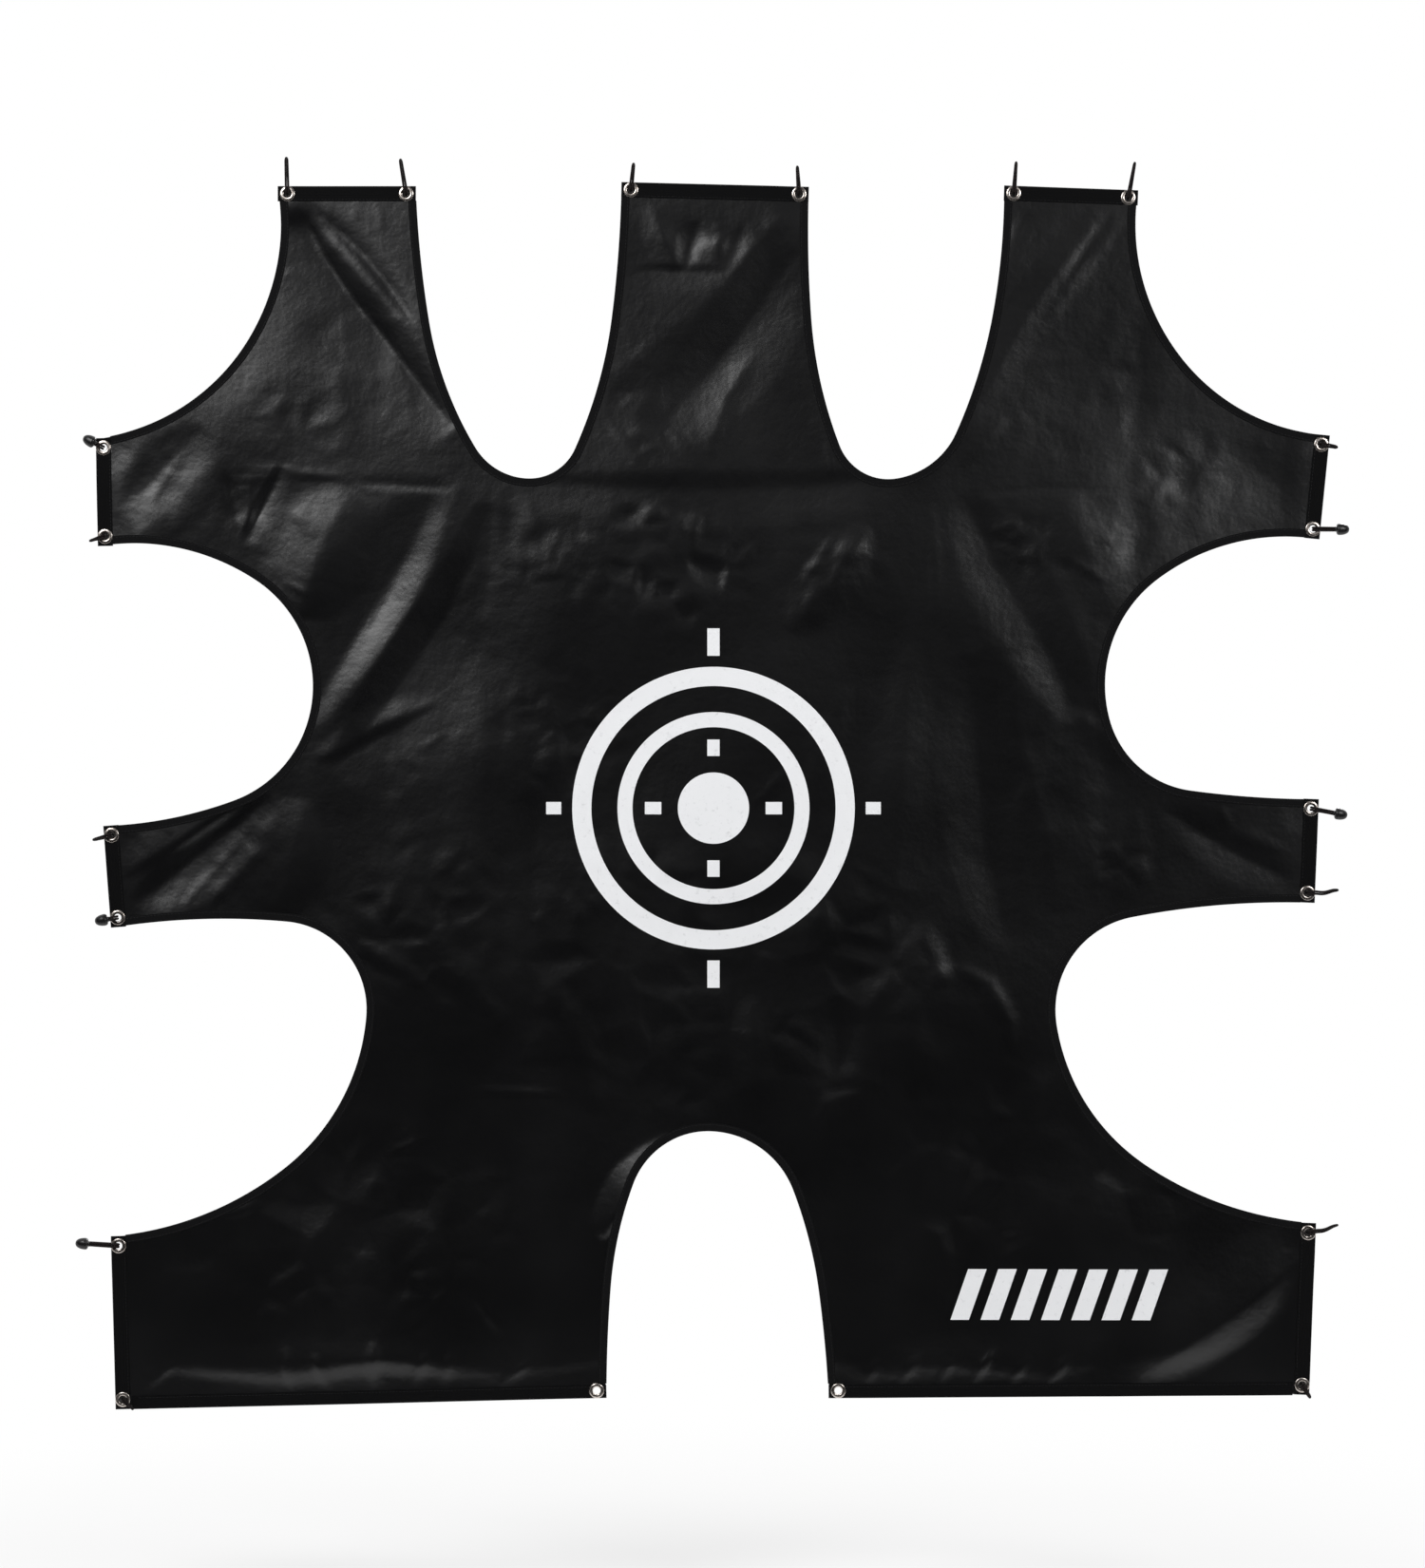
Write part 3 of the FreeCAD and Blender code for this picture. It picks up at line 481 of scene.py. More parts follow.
# How the sheet hangs: raised and hollowed strokes, as (path, half width at its left, the same at its right,
# height, profile)
# Height is towards the shooter; left and right are those of someone walking the path
# A stroke that names no profile is soft, with a round crest and foot; a keen one has a sharp crest, and a
# folded one flat flanks
SOFT = 0
KEEN = 1
FOLDED = 2
STROKES = [
    # top left tab: two dark bands fan out from the eyelet, and small puckers hang under the webbing
    ([-625+897j, -573+793j, -526+724j, -482+670j, -434+606j, -378+534j], 42, 130, -12, KEEN),
    ([-603+877j, -542+818j, -507+783j, -478+748j, -434+686j], 28, 24, -5, KEEN),
    ([-561+866j, -564+830j], 8, 8, 0.8),
    ([-525+866j, -519+833j], 9, 8, 0.8),
    ([-489+866j, -483+825j], 8, 9, 0.9),
    ([-666+634j, -625+509j], 34, 40, 1.1),
    ([-539+625j, -550+495j], 40, 44, 1.3),
    ([-472+703j, -442+550j], 26, 34, 1.2),
    ([-636+750j, -616+764j, -600+750j], 9, 9, 0.6, KEEN),
    # great fold: crest, dark valley, bright flank up to the second crest, and the slow rise after it
    ([-525+444j, -564+380j, -586+322j, -600+260j], 88, 84, 8.5),
    ([-406+434j, -449+351j, -497+272j, -558+174j, -594+107j], 48, 96, -7),
    ([-370+459j, -399+351j, -440+272j, -506+174j, -578+85j], 44, 48, 2.4),
    ([-331+426j, -352+343j, -389+267j, -445+183j, -507+93j, -555+35j], 170, 44, -8.5),
    ([-453+329j, -483+273j, -503+235j], 7, 7, -0.8, KEEN),
    ([-583+52j, -553+63j, -493+100j, -409+135j], 34, 15, 3.4),
    ([-600+35j, -458+46j, -265+52j, -98+38j], 150, 140, 4.4),
    # left upper tab: a broad bright band, a hollow beside it and a dark groove under the crest
    ([-744+537j, -810+465j, -885+390j], 76, 50, -5),
    ([-727+487j, -783+429j, -852+368j], 46, 60, 2.5),
    ([-766+509j, -810+447j, -832+398j], 14, 14, 0.9, KEEN),
    ([-630+481j, -658+426j, -686+368j], 30, 9, -5, KEEN),
    ([-712+470j, -699+429j, -688+381j], 18, 16, -2.4),
    ([-877+509j, -868+451j], 14, 16, -1.6),
    ([-885+412j, -832+423j], 8, 8, 0.8, KEEN),
    ([-704+460j, -625+467j], 8, 8, 1, KEEN),
    ([-625+467j, -533+467j], 14, 10, 1, KEEN),
    ([-625+312j, -583+290j], 8, 8, 1.2, KEEN),
    # left middle tab: a dark wedge, then a bright fan that spreads from the pocket
    ([-647-1j, -742-77j, -846-161j], 66, 30, -9.5),
    ([-600-6j, -616-94j, -639-178j], 60, 100, 6),
    ([-677-1j, -763-56j, -863-117j], 14, 60, 4),
    ([-641-28j, -677-94j, -744-167j], 22, 22, 1.4, KEEN),
    ([-663-28j, -713-94j, -777-163j], 12, 12, 0.9, KEEN),
    ([-597-17j, -578-87j, -553-170j], 26, 30, 1.6),
    ([-852-56j, -832-87j], 10, 10, -1, KEEN),
    ([-769-164j, -758-139j], 7, 7, 0.9, KEEN),
    ([-733-164j, -719-137j], 7, 7, 0.9, KEEN),
    # top centre tab: creases where the band pulls, and a broad band across
    ([-93+863j, -73+814j, -54+767j], 24, 30, 3.2, FOLDED),
    ([-24+839j, -40+767j], 18, 22, -2.6, FOLDED),
    ([10+836j, 1+769j], 18, 24, 1.3, FOLDED),
    ([48+833j, 18+761j], 18, 18, -1.5, FOLDED),
    ([112+861j, 57+797j, 18+758j], 24, 32, 1.9, FOLDED),
    ([-115+768j, 26+764j], 10, 34, -2, KEEN),
    ([68+797j, -8+724j, -85+658j, -159+603j], 70, 110, 4),
    ([123+797j, 54+696j, -22+599j, -98+523j], 84, 60, -6.5),
    ([60+647j, 18+578j, -7+492j], 26, 40, 2, KEEN),
    ([-71+534j, -37+509j], 8, 8, 0.9, KEEN),
    ([-154+544j, -98+478j], 14, 14, 1.2, KEEN),
    ([165+520j, 176+465j], 7, 8, 1.2, KEEN),
    # top right tab: two bands run down to the slot
    ([569+858j, 494+751j, 442+675j, 392+573j], 34, 36, 2.6, FOLDED),
    ([597+847j, 525+744j, 475+667j], 14, 18, 1.1, FOLDED),
    ([578+850j, 508+744j], 7, 7, -0.9, KEEN),
    ([456+861j, 433+797j], 16, 14, -1.2),
    ([629+703j, 608+606j, 622+523j], 46, 44, -1.2),
    ([428+550j, 359+481j], 20, 24, 1.4),
    # across the foot of the slots: the sheet's level packing crease
    ([-708+478j, -625+476j, -525+460j], 10, 12, 1, KEEN),
    ([-525+456j, -445+451j, -375+448j], 20, 10, -1.6, KEEN),
    ([-265+456j, -126+448j, 12+445j, 151+451j, 289+467j], 30, 60, -3.4),
    ([359+440j, 483+448j, 594+445j], 8, 8, -0.7, KEEN),
    # under the left slot
    ([-327+440j, -328+343j, -337+260j], 24, 26, -1.2),
    ([-295+445j, -298+370j, -292+315j], 20, 20, -0.9),
    ([-270+440j, -259+329j], 20, 24, 0.9),
    ([-215+384j, -234+340j, -278+321j], 14, 20, -1.1, KEEN),
    ([-341+204j, -337+52j, -348-156j], 60, 60, 2),
    ([-265+10j, -262-170j], 44, 40, -1.8),
    ([-431+66j, -389+93j], 8, 8, 0.8, KEEN),
    ([-209+107j, -265+66j], 10, 10, 0.8, KEEN),
    # above and beside the ring target
    ([19+412j, 21+329j, 15+251j], 6, 6, 0.9, KEEN),
    ([3+80j, 4-31j], 6, 6, 0.6, KEEN),
    ([-8-350j, -4-497j], 10, 40, 0.9),
    ([227+390j, 179+321j, 112+240j], 44, 50, 4.6),
    ([179+384j, 132+312j], 12, 14, 1.2, KEEN),
    ([199+163j, 162+71j, 145-17j], 30, 30, 1.6),
    ([54-17j, 123+52j], 12, 14, 1.2, KEEN),
    # right shoulder: folds that hang from the slot
    ([317+429j, 323+343j, 323+260j], 14, 14, 0.9),
    ([361+437j, 417+334j, 483+218j, 533+118j], 60, 66, -7),
    ([500+440j, 547+357j, 591+260j], 64, 64, 3.2),
    ([601+440j, 622+384j, 605+329j], 34, 30, -1.4),
    ([730+520j, 716+440j, 705+376j], 40, 40, 1.2),
    ([746+509j, 802+467j, 871+423j], 44, 64, -1.6),
    ([511+350j, 573+312j], 12, 12, 1.3, KEEN),
    ([400+384j, 445+398j], 8, 8, 1, KEEN),
    ([403+381j, 453+354j], 8, 8, -1, KEEN),
    # right of the target, down to the lower pocket
    ([287+218j, 280+107j, 273-31j, 262-170j], 56, 56, 3.6),
    ([370+204j, 386+52j, 400-87j, 431-225j], 60, 64, -5),
    ([428+204j, 453+66j, 489-53j, 500-170j], 130, 40, 4.5),
    ([553+135j, 575+10j, 566-87j], 34, 36, -1.4),
    ([616-17j, 622-87j], 18, 20, 1),
    # right middle tab
    ([652-17j, 746-76j, 866-137j], 44, 44, -3.2, KEEN),
    ([746-48j, 830-81j], 16, 18, 1.1),
    ([738-15j, 755-48j], 12, 12, 1, KEEN),
    # lower middle and right
    ([302-184j, 323-261j, 292-317j, 292-441j], 40, 76, 4),
    ([352-247j, 400-275j, 431-328j, 436-380j], 20, 22, 2.6),
    ([148-488j, 165-447j, 213-433j], 16, 20, 2.6),
    ([359-461j, 359-668j], 60, 60, -4.5),
    ([179-294j, 184-461j], 46, 46, -4.5),
    ([927-624j, 746-763j, 670-815j, 553-890j], 50, 96, 13),
    ([217-865j, 242-818j], 11, 12, 3.4, KEEN),
    ([267-865j, 301-812j], 11, 13, 3.8, KEEN),
    ([323-865j, 350-818j], 10, 12, 3.8, KEEN),
    ([370-865j, 409-807j], 12, 13, 4.4, KEEN),
    ([425-865j, 461-815j], 11, 12, 3.4, KEEN),
    ([478-865j, 525-812j], 12, 14, 3.8, KEEN),
    ([179-848j, 345-829j, 483-843j, 566-826j], 50, 20, 3.6),
    # lower left: a light bulge over the hem, with puckers
    ([-832-829j, -625-843j, -486-821j, -320-840j, -154-823j], 56, 24, 4.4),
    ([-616-865j, -625-801j], 12, 16, 3, KEEN),
    ([-561-865j, -583-812j], 14, 14, 2.6, KEEN),
    ([-497-865j, -494-793j], 20, 18, 3.6, KEEN),
    ([-442-865j, -417-812j], 14, 16, 2.6, KEEN),
    ([-395-865j, -384-812j], 14, 16, 2.8, KEEN),
    ([-320-865j, -265-823j], 12, 14, 3.2, KEEN),
    ([-832-865j, -783-826j], 12, 12, 3, KEEN),
    ([-722-616j, -652-591j], 14, 12, 2.2),
    ([-483-527j, -410-495j], 9, 9, 1.6, KEEN),
    ([-348-429j, -224-434j], 9, 9, 1.6, KEEN),
    ([-223-281j, -193-378j, -170-461j], 40, 44, 5),
    ([-389-225j, -320-317j], 30, 34, 3.2),
    ([-519-211j, -417-275j], 20, 22, 2.2),
    ([-49-502j, -115-574j, -165-646j], 20, 44, 13, FOLDED),
    ([54-294j, 68-474j], 40, 44, 4),
    ([-348-724j, -312-779j], 12, 12, 2.4, KEEN),
]
# Crumpled places: middle, half size, size of the facets, and their height
CRUMPLES = [
    (-71+343j, (180, 116), 34, 3.4),
    (-220+350j, (97, 83), 38, 2.0),
    (165+315j, (111, 97), 34, 1.7),
    (442+370j, (69, 69), 28, 1.6),
    (539+370j, (97, 83), 34, 1.2),
    (594-103j, (64, 61), 24, 1.6),
    (691+467j, (125, 83), 40, 1.4),
    (-8+821j, (111, 47), 24, 1.2),
    (-569+550j, (166, 91), 44, 1.5),
    (-652+412j, (97, 97), 34, 1.7),
    (-819+467j, (97, 97), 30, 1.0),
    (-722-101j, (166, 91), 36, 1.1),
    (-458+66j, (138, 97), 38, 1.5),
    (-223+93j, (125, 125), 36, 2.4),
    (-320+273j, (111, 97), 44, 1.3),
    (-1-267j, (471, 277), 56, 4.2),
    (-417-184j, (180, 166), 44, 3.4),
    (525+52j, (111, 180), 42, 1.6),
    (-486-641j, (388, 208), 56, 4.6),
    (456-558j, (346, 208), 56, 4.6),
    (-71+564j, (125, 111), 40, 1.4),
    (-514+703j, (111, 152), 56, 1.1),
    (525+606j, (180, 194), 60, 1.2),
]
RANDOM = np.random.default_rng(11)


def facet_seeds(middle, half, cell):
    # Seeded middles of a crumple's facets, and how far each is raised or sunk
    count = round(4 * half[0] * half[1] / cell ** 2)
    across, up = RANDOM.uniform(-1, 1, (2, count))
    sides = RANDOM.choice([-1, -0.4, 0.4, 1], count)
    return middle + across * half[0] + 1j * up * half[1], sides


FACETS = [facet_seeds(middle, half, cell) for middle, half, cell, height in CRUMPLES]


def smooth_step(values, low, high):
    share = np.clip((values - low) / (high - low), 0, 1)
    return share * share * (3 - 2 * share)


def beside_line(points, start, end):
    # Distance from the line, share of it walked, and the side: above zero left of the walker
    local = (points - start) / (end - start)
    reach = np.clip(local.real, 0, 1)
    return np.abs(points - start - reach * (end - start)), reach, local.imag


def box_round(points, path, margin=0):
    # Which points lie in the upright box round a path
    path = np.array(path)
    inside = (points.real > path.real.min() - margin) & (points.real < path.real.max() + margin)
    return inside & (points.imag > path.imag.min() - margin) & (points.imag < path.imag.max() + margin)


def crumple_height(points, middle, half, cell, height, seeds, sides):
    # Flat-sided facets that meet in sharp valleys, and run out towards the edge of the crumpled place
    offset = points - middle
    fade = 1 - smooth_step(np.hypot(offset.real / half[0], offset.imag / half[1]), 0.45, 1)
    lift = np.zeros(points.shape)
    inside = fade > 0
    if inside.any():
        away = np.abs(points[inside][:, None] - seeds[None, :])
        order = np.argsort(away, axis=1)[:, :2]
        nearest, second = np.take_along_axis(away, order, axis=1).T
        lift[inside] = height * sides[order[:, 0]] * np.clip((second - nearest) / cell, 0, 1)
    return lift * fade


# Share of a stroke's width left at its ends
END_WIDTH = 0.35


def stroke_height(points, path, half_left, half_right, height, profile=SOFT):
    # How far one stroke lifts the points, with its ends run out to nothing
    lengths = [abs(b - a) for a, b in zip(path, path[1:])]
    best = np.full(points.shape, np.inf)
    side = np.zeros(points.shape)
    along = np.zeros(points.shape)
    passed = 0
    for start, end, length in zip(path, path[1:], lengths):
        away, reach, beside = beside_line(points, start, end)
        nearer = away < best
        best[nearer] = away[nearer]
        side[nearer] = beside[nearer]
        along[nearer] = (passed + reach[nearer] * length) / sum(lengths)
        passed += length
    share = np.sin(math.pi * np.clip(along, 0, 1)) ** 0.7
    half = np.where(side > 0, half_left, half_right) * (END_WIDTH + (1 - END_WIDTH) * share)
    near = np.clip(1 - best / half, 0, 1)
    if profile == KEEN:
        near = near ** 1.5
    elif profile == SOFT:
        near = (near + smooth_step(near, 0, 1)) / 2
    return height * share * near


# Slow swells of the whole sheet: direction in degrees, wavelength, height and phase
SWELLS = [
    (35, 520, 2.2, 0.4), (118, 430, 1.8, 2.1), (80, 610, 2.0, 4.4),
    (150, 290, 0.9, 1.2), (62, 240, 0.7, 3.6),
]
# Distances over which the cloth comes free from a band or hem, and from an eyelet
EDGE_CALM = (12, 70)
EYELET_CALM = (13, 48)
# Share of the relief that is left under the bands and hems
EDGE_RELIEF = 0.3


def drape(points):
    # Depth of the hung sheet's middle at flat points: folds, creases and swells, and nothing at the eyelets
    lift = np.zeros(points.shape)
    for direction, wavelength, height, phase in SWELLS:
        run = (points * unit(-direction)).real
        lift += height * np.sin(2 * math.pi * run / wavelength + phase)
    for stroke in STROKES:
        inside = box_round(points, stroke[0], max(stroke[1:3]))
        if inside.any():
            lift[inside] += stroke_height(points[inside], *stroke)
    for crumple, facets in zip(CRUMPLES, FACETS):
        lift += crumple_height(points, *crumple, *facets)
    for line in STRAIGHTS.values():
        lift *= EDGE_RELIEF + (1 - EDGE_RELIEF) * smooth_step(beside_line(points, *line)[0], *EDGE_CALM)
    for eyelet in EYELETS:
        lift *= smooth_step(np.abs(points - eyelet), *EYELET_CALM)
    return -lift


# Flat meshes inside closed loops
SPACING = 6.0
PRINT_SPACING = 3.5
HOLE_SPACING = 2.0


def even_odd(points, loops):
    # Which points lie inside the outer loops and outside the inner ones
    inside = np.zeros(points.shape, bool)
    for loop in loops:
        corners = np.array(loop)
        for a, b in zip(corners, np.roll(corners, -1)):
            if a.imag == b.imag:
                continue
            spans = (a.imag > points.imag) != (b.imag > points.imag)
            crossing = a.real + (points.imag - a.imag) * (b.real - a.real) / (b.imag - a.imag)
            inside ^= spans & (points.real < crossing)
    return inside


def lattice(loops, spacing):
    # Points of a triangular lattice inside the loops, row by row between the loops' crossings
    starts = np.concatenate(loops)
    ends = np.concatenate([np.roll(loop, -1) for loop in loops])
    row_height = spacing * math.sqrt(3) / 2
    margin = spacing * 0.45
    low, high = starts.imag.min(), starts.imag.max()
    points = []
    for row in range(int((high - low) / row_height)):
        z = low + (row + 0.5) * row_height
        spans = (starts.imag > z) != (ends.imag > z)
        a, b = starts[spans], ends[spans]
        crossings = np.sort(a.real + (z - a.imag) * (b.real - a.real) / (b.imag - a.imag))
        shift = spacing / 2 * (row % 2)
        for first, last in zip(crossings[::2], crossings[1::2]):
            k = np.arange(math.ceil((first + margin - shift) / spacing), (last - margin - shift) / spacing)
            points.append(k * spacing + shift + 1j * z)
    return np.concatenate(points)


def circle(center, radius, spacing):
    count = max(12, round(2 * math.pi * radius / spacing))
    return [center + radius * cmath.exp(2j * math.pi * k / count) for k in range(count)]


def broken_line(corners, spacing):
    # Points along the corners' lines, without the last corner
    return [point for start, end in zip(corners, corners[1:])
            for point, heading in line_stations(start, end, spacing)[:-1]]


def outline(spacing):
    # The sheet's edge: each bay, and the straight edge or the corner's two to the next bay
    loop = []
    names = list(BAYS)
    for name, following in zip(names, names[1:] + names[:1]):
        loop += [point for point, heading in bay_stations(name, spacing)[:-1]]
        corners = [bay_end(name), bay_start(following)]
        if following == "bottom_arch":
            corners.insert(1, BOTTOM_RIGHT)
        if name == "bottom_arch":
            corners.insert(1, BOTTOM_LEFT)
        loop += broken_line(corners, spacing)
    return loop


# Printed marks, both plain: a ring target in the middle and a row of slanted bars at the lower right
TARGET_CENTER = complex(0, -18)
TARGET_RINGS = [(206, 178), (140, 118)]
TARGET_SPOT = 52
# Ticks from the near to the far distance, in these directions
TICK_HALF_WIDTH = 9
TICKS = [(222, 262, (1j, -1j)), (222, 244, (1, -1)), (76, 100, (1j, -1j, 1, -1))]
BARS_CENTER = complex(504, -727)
BAR_COUNT = 7
BAR_PITCH = 44
BAR_WIDTH = 27
BAR_HEIGHT = 74
BAR_SLANT = 26


def slanted_mark(middle, across, along):
    # A four-sided mark from its middle and the halves of its two spans
    corners = [middle + a * across + b * along for a, b in ((-1, -1), (1, -1), (1, 1), (-1, 1), (-1, -1))]
    return [broken_line(corners, PRINT_SPACING)]


def print_loops():
    # Each mark as its outer loop and, for a ring, its inner one
    marks = [[circle(TARGET_CENTER, radius, PRINT_SPACING) for radius in ring] for ring in TARGET_RINGS]
    marks.append([circle(TARGET_CENTER, TARGET_SPOT, PRINT_SPACING)])
    for near, far, directions in TICKS:
        for direction in directions:
            middle = TARGET_CENTER + (near + far) / 2 * direction
            across = 1j * direction * TICK_HALF_WIDTH
            marks.append(slanted_mark(middle, across, (far - near) / 2 * direction))
    for index in range(BAR_COUNT):
        middle = BARS_CENTER + BAR_PITCH * (index - (BAR_COUNT - 1) / 2)
        marks.append(slanted_mark(middle, BAR_WIDTH / 2, complex(BAR_SLANT / 2, BAR_HEIGHT / 2)))
    return marks


# Materials for the sheet
def coated_polyester(name, light, dark, rough_low, rough_high, grain):
    # PVC-coated polyester: a black skin calendered onto a plain weave, satin where light slides over it
    made, tree, coords = new_material(name)
    # The threads are 0.5 mm apart in the real cloth, and drawn at 1.5 mm to show
    warp, weft = (add(tree, "TexWave", {"Vector": coords, "Scale": wave_scale(1.5), "Distortion": 0.6},
                      bands_direction=way).outputs["Fac"] for way in "XZ")
    weave = add(tree, "Math", {0: warp, 1: weft}, operation="MULTIPLY")
    # Handling leaves soft dents of about 80 mm
    crinkle = add(tree, "TexNoise", {
        "Vector": coords, "Scale": per_metre(80), "Detail": 4.0, "Roughness": 0.65,
    })
    patches = add(tree, "TexNoise", {"Vector": coords, "Scale": per_metre(160), "Detail": 5.0})
    tint = add(tree, "Mix", {"Factor": patches, MIX_A: linear(dark), MIX_B: linear(light)},
               data_type="RGBA")
    rough = add(tree, "MapRange", {
        "Value": patches, "From Min": 0.3, "From Max": 0.7, "To Min": rough_low, "To Max": rough_high,
    })
    creased = add(tree, "Bump", {"Height": crinkle, "Strength": 0.4, "Distance": 0.004})
    bump = add(tree, "Bump", {"Height": weave, "Strength": grain, "Distance": 0.0003, "Normal": creased})
    return finished(made, add(tree, "BsdfPrincipled", {
        "Base Color": tint.outputs[MIX_RESULT], "Roughness": rough, "Specular IOR Level": 0.6,
        "Normal": bump,
    }))


def screen_printed_ink():
    # Plastisol ink: a warm-white skin, duller than the coating, with faint wear where the sheet was folded
    made, tree, coords = new_material("screen_printed_ink")
    wear = add(tree, "TexNoise", {"Vector": coords, "Scale": per_metre(9), "Detail": 6.0, "Roughness": 0.7})
    tint = add(tree, "ValToRGB", {"Fac": wear}, ramp=((0.28, "#cfd0d2"), (0.42, "#e8e9eb")))
    bump = add(tree, "Bump", {"Height": wear, "Strength": 0.2, "Distance": 0.0006})
    return finished(made, add(tree, "BsdfPrincipled", {
        "Base Color": tint, "Roughness": 0.55, "Specular IOR Level": 0.3, "Normal": bump,
    }))


sheet_loop = outline(SPACING)
hole_loops = [circle(eyelet, HOLE_RADIUS, HOLE_SPACING) for eyelet in EYELETS]
marks = print_loops()
mark_loops = [loop for mark in marks for loop in mark]
# Lattice points this near a loop are left out, and this many loop points are compared at once
CLEARANCE = SPACING * 0.4
BATCH = 64


def sheet_triangles():
    # Flat points and triangles of the sheet, with edges along the outline, the holes and the printed marks
    border_loops = [sheet_loop] + hole_loops
    border = np.concatenate(border_loops + mark_loops)
    edges = []
    offset = 0
    for loop in border_loops + mark_loops:
        count = len(loop)
        edges += [(offset + k, offset + (k + 1) % count) for k in range(count)]
        offset += count
    inner = lattice(border_loops, SPACING)
    gap = np.full(inner.shape, np.inf)
    for k in range(0, len(border), BATCH):
        gap = np.minimum(gap, np.abs(inner[:, None] - border[None, k:k + BATCH]).min(axis=1))
    flat = [Vector((p.real, p.imag)) for p in np.concatenate([border, inner[gap > CLEARANCE]])]
    verts, _, faces, origins, _, _ = delaunay_2d_cdt(flat, edges, [], 0, 1e-4, True)
    points = np.array([complex(v.x, v.y) for v in verts])
    outer_count = sum(len(loop) for loop in border_loops)
    free = np.array([bool(o) and min(o) >= outer_count for o in origins])
    faces = np.array(faces)
    keep = free[faces].any(axis=1)
    keep[~keep] = even_odd(points[faces[~keep]].mean(axis=1), border_loops)
    return points, faces[keep].tolist()


def printed_faces(mesh):
    # Which faces lie within a printed mark
    middles = np.zeros(len(mesh.polygons) * 3)
    mesh.polygons.foreach_get("center", middles)
    middles = middles.reshape(-1, 3) @ np.array([1, 0, 1j]) / MM
    printed = np.zeros(len(middles), bool)
    for mark in marks:
        near = box_round(middles, mark[0])
        printed[near] |= even_odd(middles[near], mark)
    return printed


coating = coated_polyester("pvc_coated_polyester", "#0b0b0d", "#070708", 0.29, 0.35, 0.12)
reverse = coated_polyester("uncoated_polyester_back", "#121315", "#0c0d0e", 0.6, 0.7, 0.6)
ink = screen_printed_ink()
# Material slots: the coating and the print in front, and from here on the cloth of the back and the rim
BACK_SLOT = 2

points, faces = sheet_triangles()
corners = np.stack([points.real, drape(points), points.imag], axis=-1)
sheet_piece = mesh_object("target_sheet_cloth", corners, faces, [coating, ink, reverse, reverse])
carried(sheet_piece, "sheet")
mesh = sheet_piece.data
mesh.polygons.foreach_set("material_index", printed_faces(mesh).astype(np.int32))
normals = np.zeros(len(mesh.polygons) * 3)
mesh.polygons.foreach_get("normal", normals)
if normals.reshape(-1, 3)[:, 1].mean() > 0:
    mesh.flip_normals()
solid = sheet_piece.modifiers.new("cloth_thickness", "SOLIDIFY")
solid.thickness = 2 * SHEET_HALF * MM
solid.offset = 0
solid.material_offset = BACK_SLOT
solid.material_offset_rim = BACK_SLOT
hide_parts("target_sheet")


# Tapes folded over the edge
TAPE_STEP = 4.0
SECTION_STEP = 1.0
# Gap under a tape, largest radius of its outer corner, bevel of its inner edge, and height of a rib
CLOTH_GAP = 0.02
LARGEST_CORNER = 1.1
TAPE_BEVEL = 0.35
RIB_HEIGHT = 0.35
SHARP_ANGLE = math.radians(50)
PUNCH_PROFILE = [(0, -8), (HOLE_RADIUS, -8), (HOLE_RADIUS, 8), (0, 8)]
PUNCH_TURNS = 41


def taut_section(reach, thickness, rib_pitch=1.0, rib_height=0.0):
    # Closed section of a folded tape: distance into the sheet as the real part, depth as the imaginary one
    face = SHEET_HALF + thickness
    inside = SHEET_HALF + CLOTH_GAP
    outer = EDGE_GAP + thickness
    corner = min(LARGEST_CORNER, thickness)
    flat = reach - TAPE_BEVEL
    steps = max(2, round(reach / SECTION_STEP))
    half = [complex(reach, -inside), complex(reach, -(face - TAPE_BEVEL))]
    for k in range(steps + 1):
        into = flat - (flat - corner + outer) * k / steps
        rib = rib_height * 0.5 * (1 + math.cos(2 * math.pi * into / rib_pitch))
        half.append(complex(into, -(face - rib_height + rib)))
    for angle in map(math.radians, (30, 60, 90)):
        half.append(complex(-outer + corner * (1 - math.sin(angle)),
                            -face + rib_height * 0.5 + corner * (1 - math.cos(angle))))
    mirrored = [point.conjugate() for point in reversed(half)]
    return np.array(half + mirrored + [complex(-EDGE_GAP, inside), complex(-EDGE_GAP, -inside)])


def punch_holes(tape, centers):
    # The eyelets' holes, cut through both layers of a folded tape
    punch = mesh_object("eyelet_punch", *copies(centers, PUNCH_PROFILE, PUNCH_TURNS, closed=False))
    cut = tape.modifiers.new("eyelet_holes", "BOOLEAN")
    cut.operation = "DIFFERENCE"
    cut.solver = "EXACT"
    cut.object = punch
    graph = bpy.context.evaluated_depsgraph_get()
    tape.data = bpy.data.meshes.new_from_object(tape.evaluated_get(graph))
    tape.modifiers.clear()
    bpy.data.objects.remove(punch)


def walked(places):
    # Distance walked to each place
    return np.concatenate([[0], np.cumsum(np.abs(np.diff(places)))])


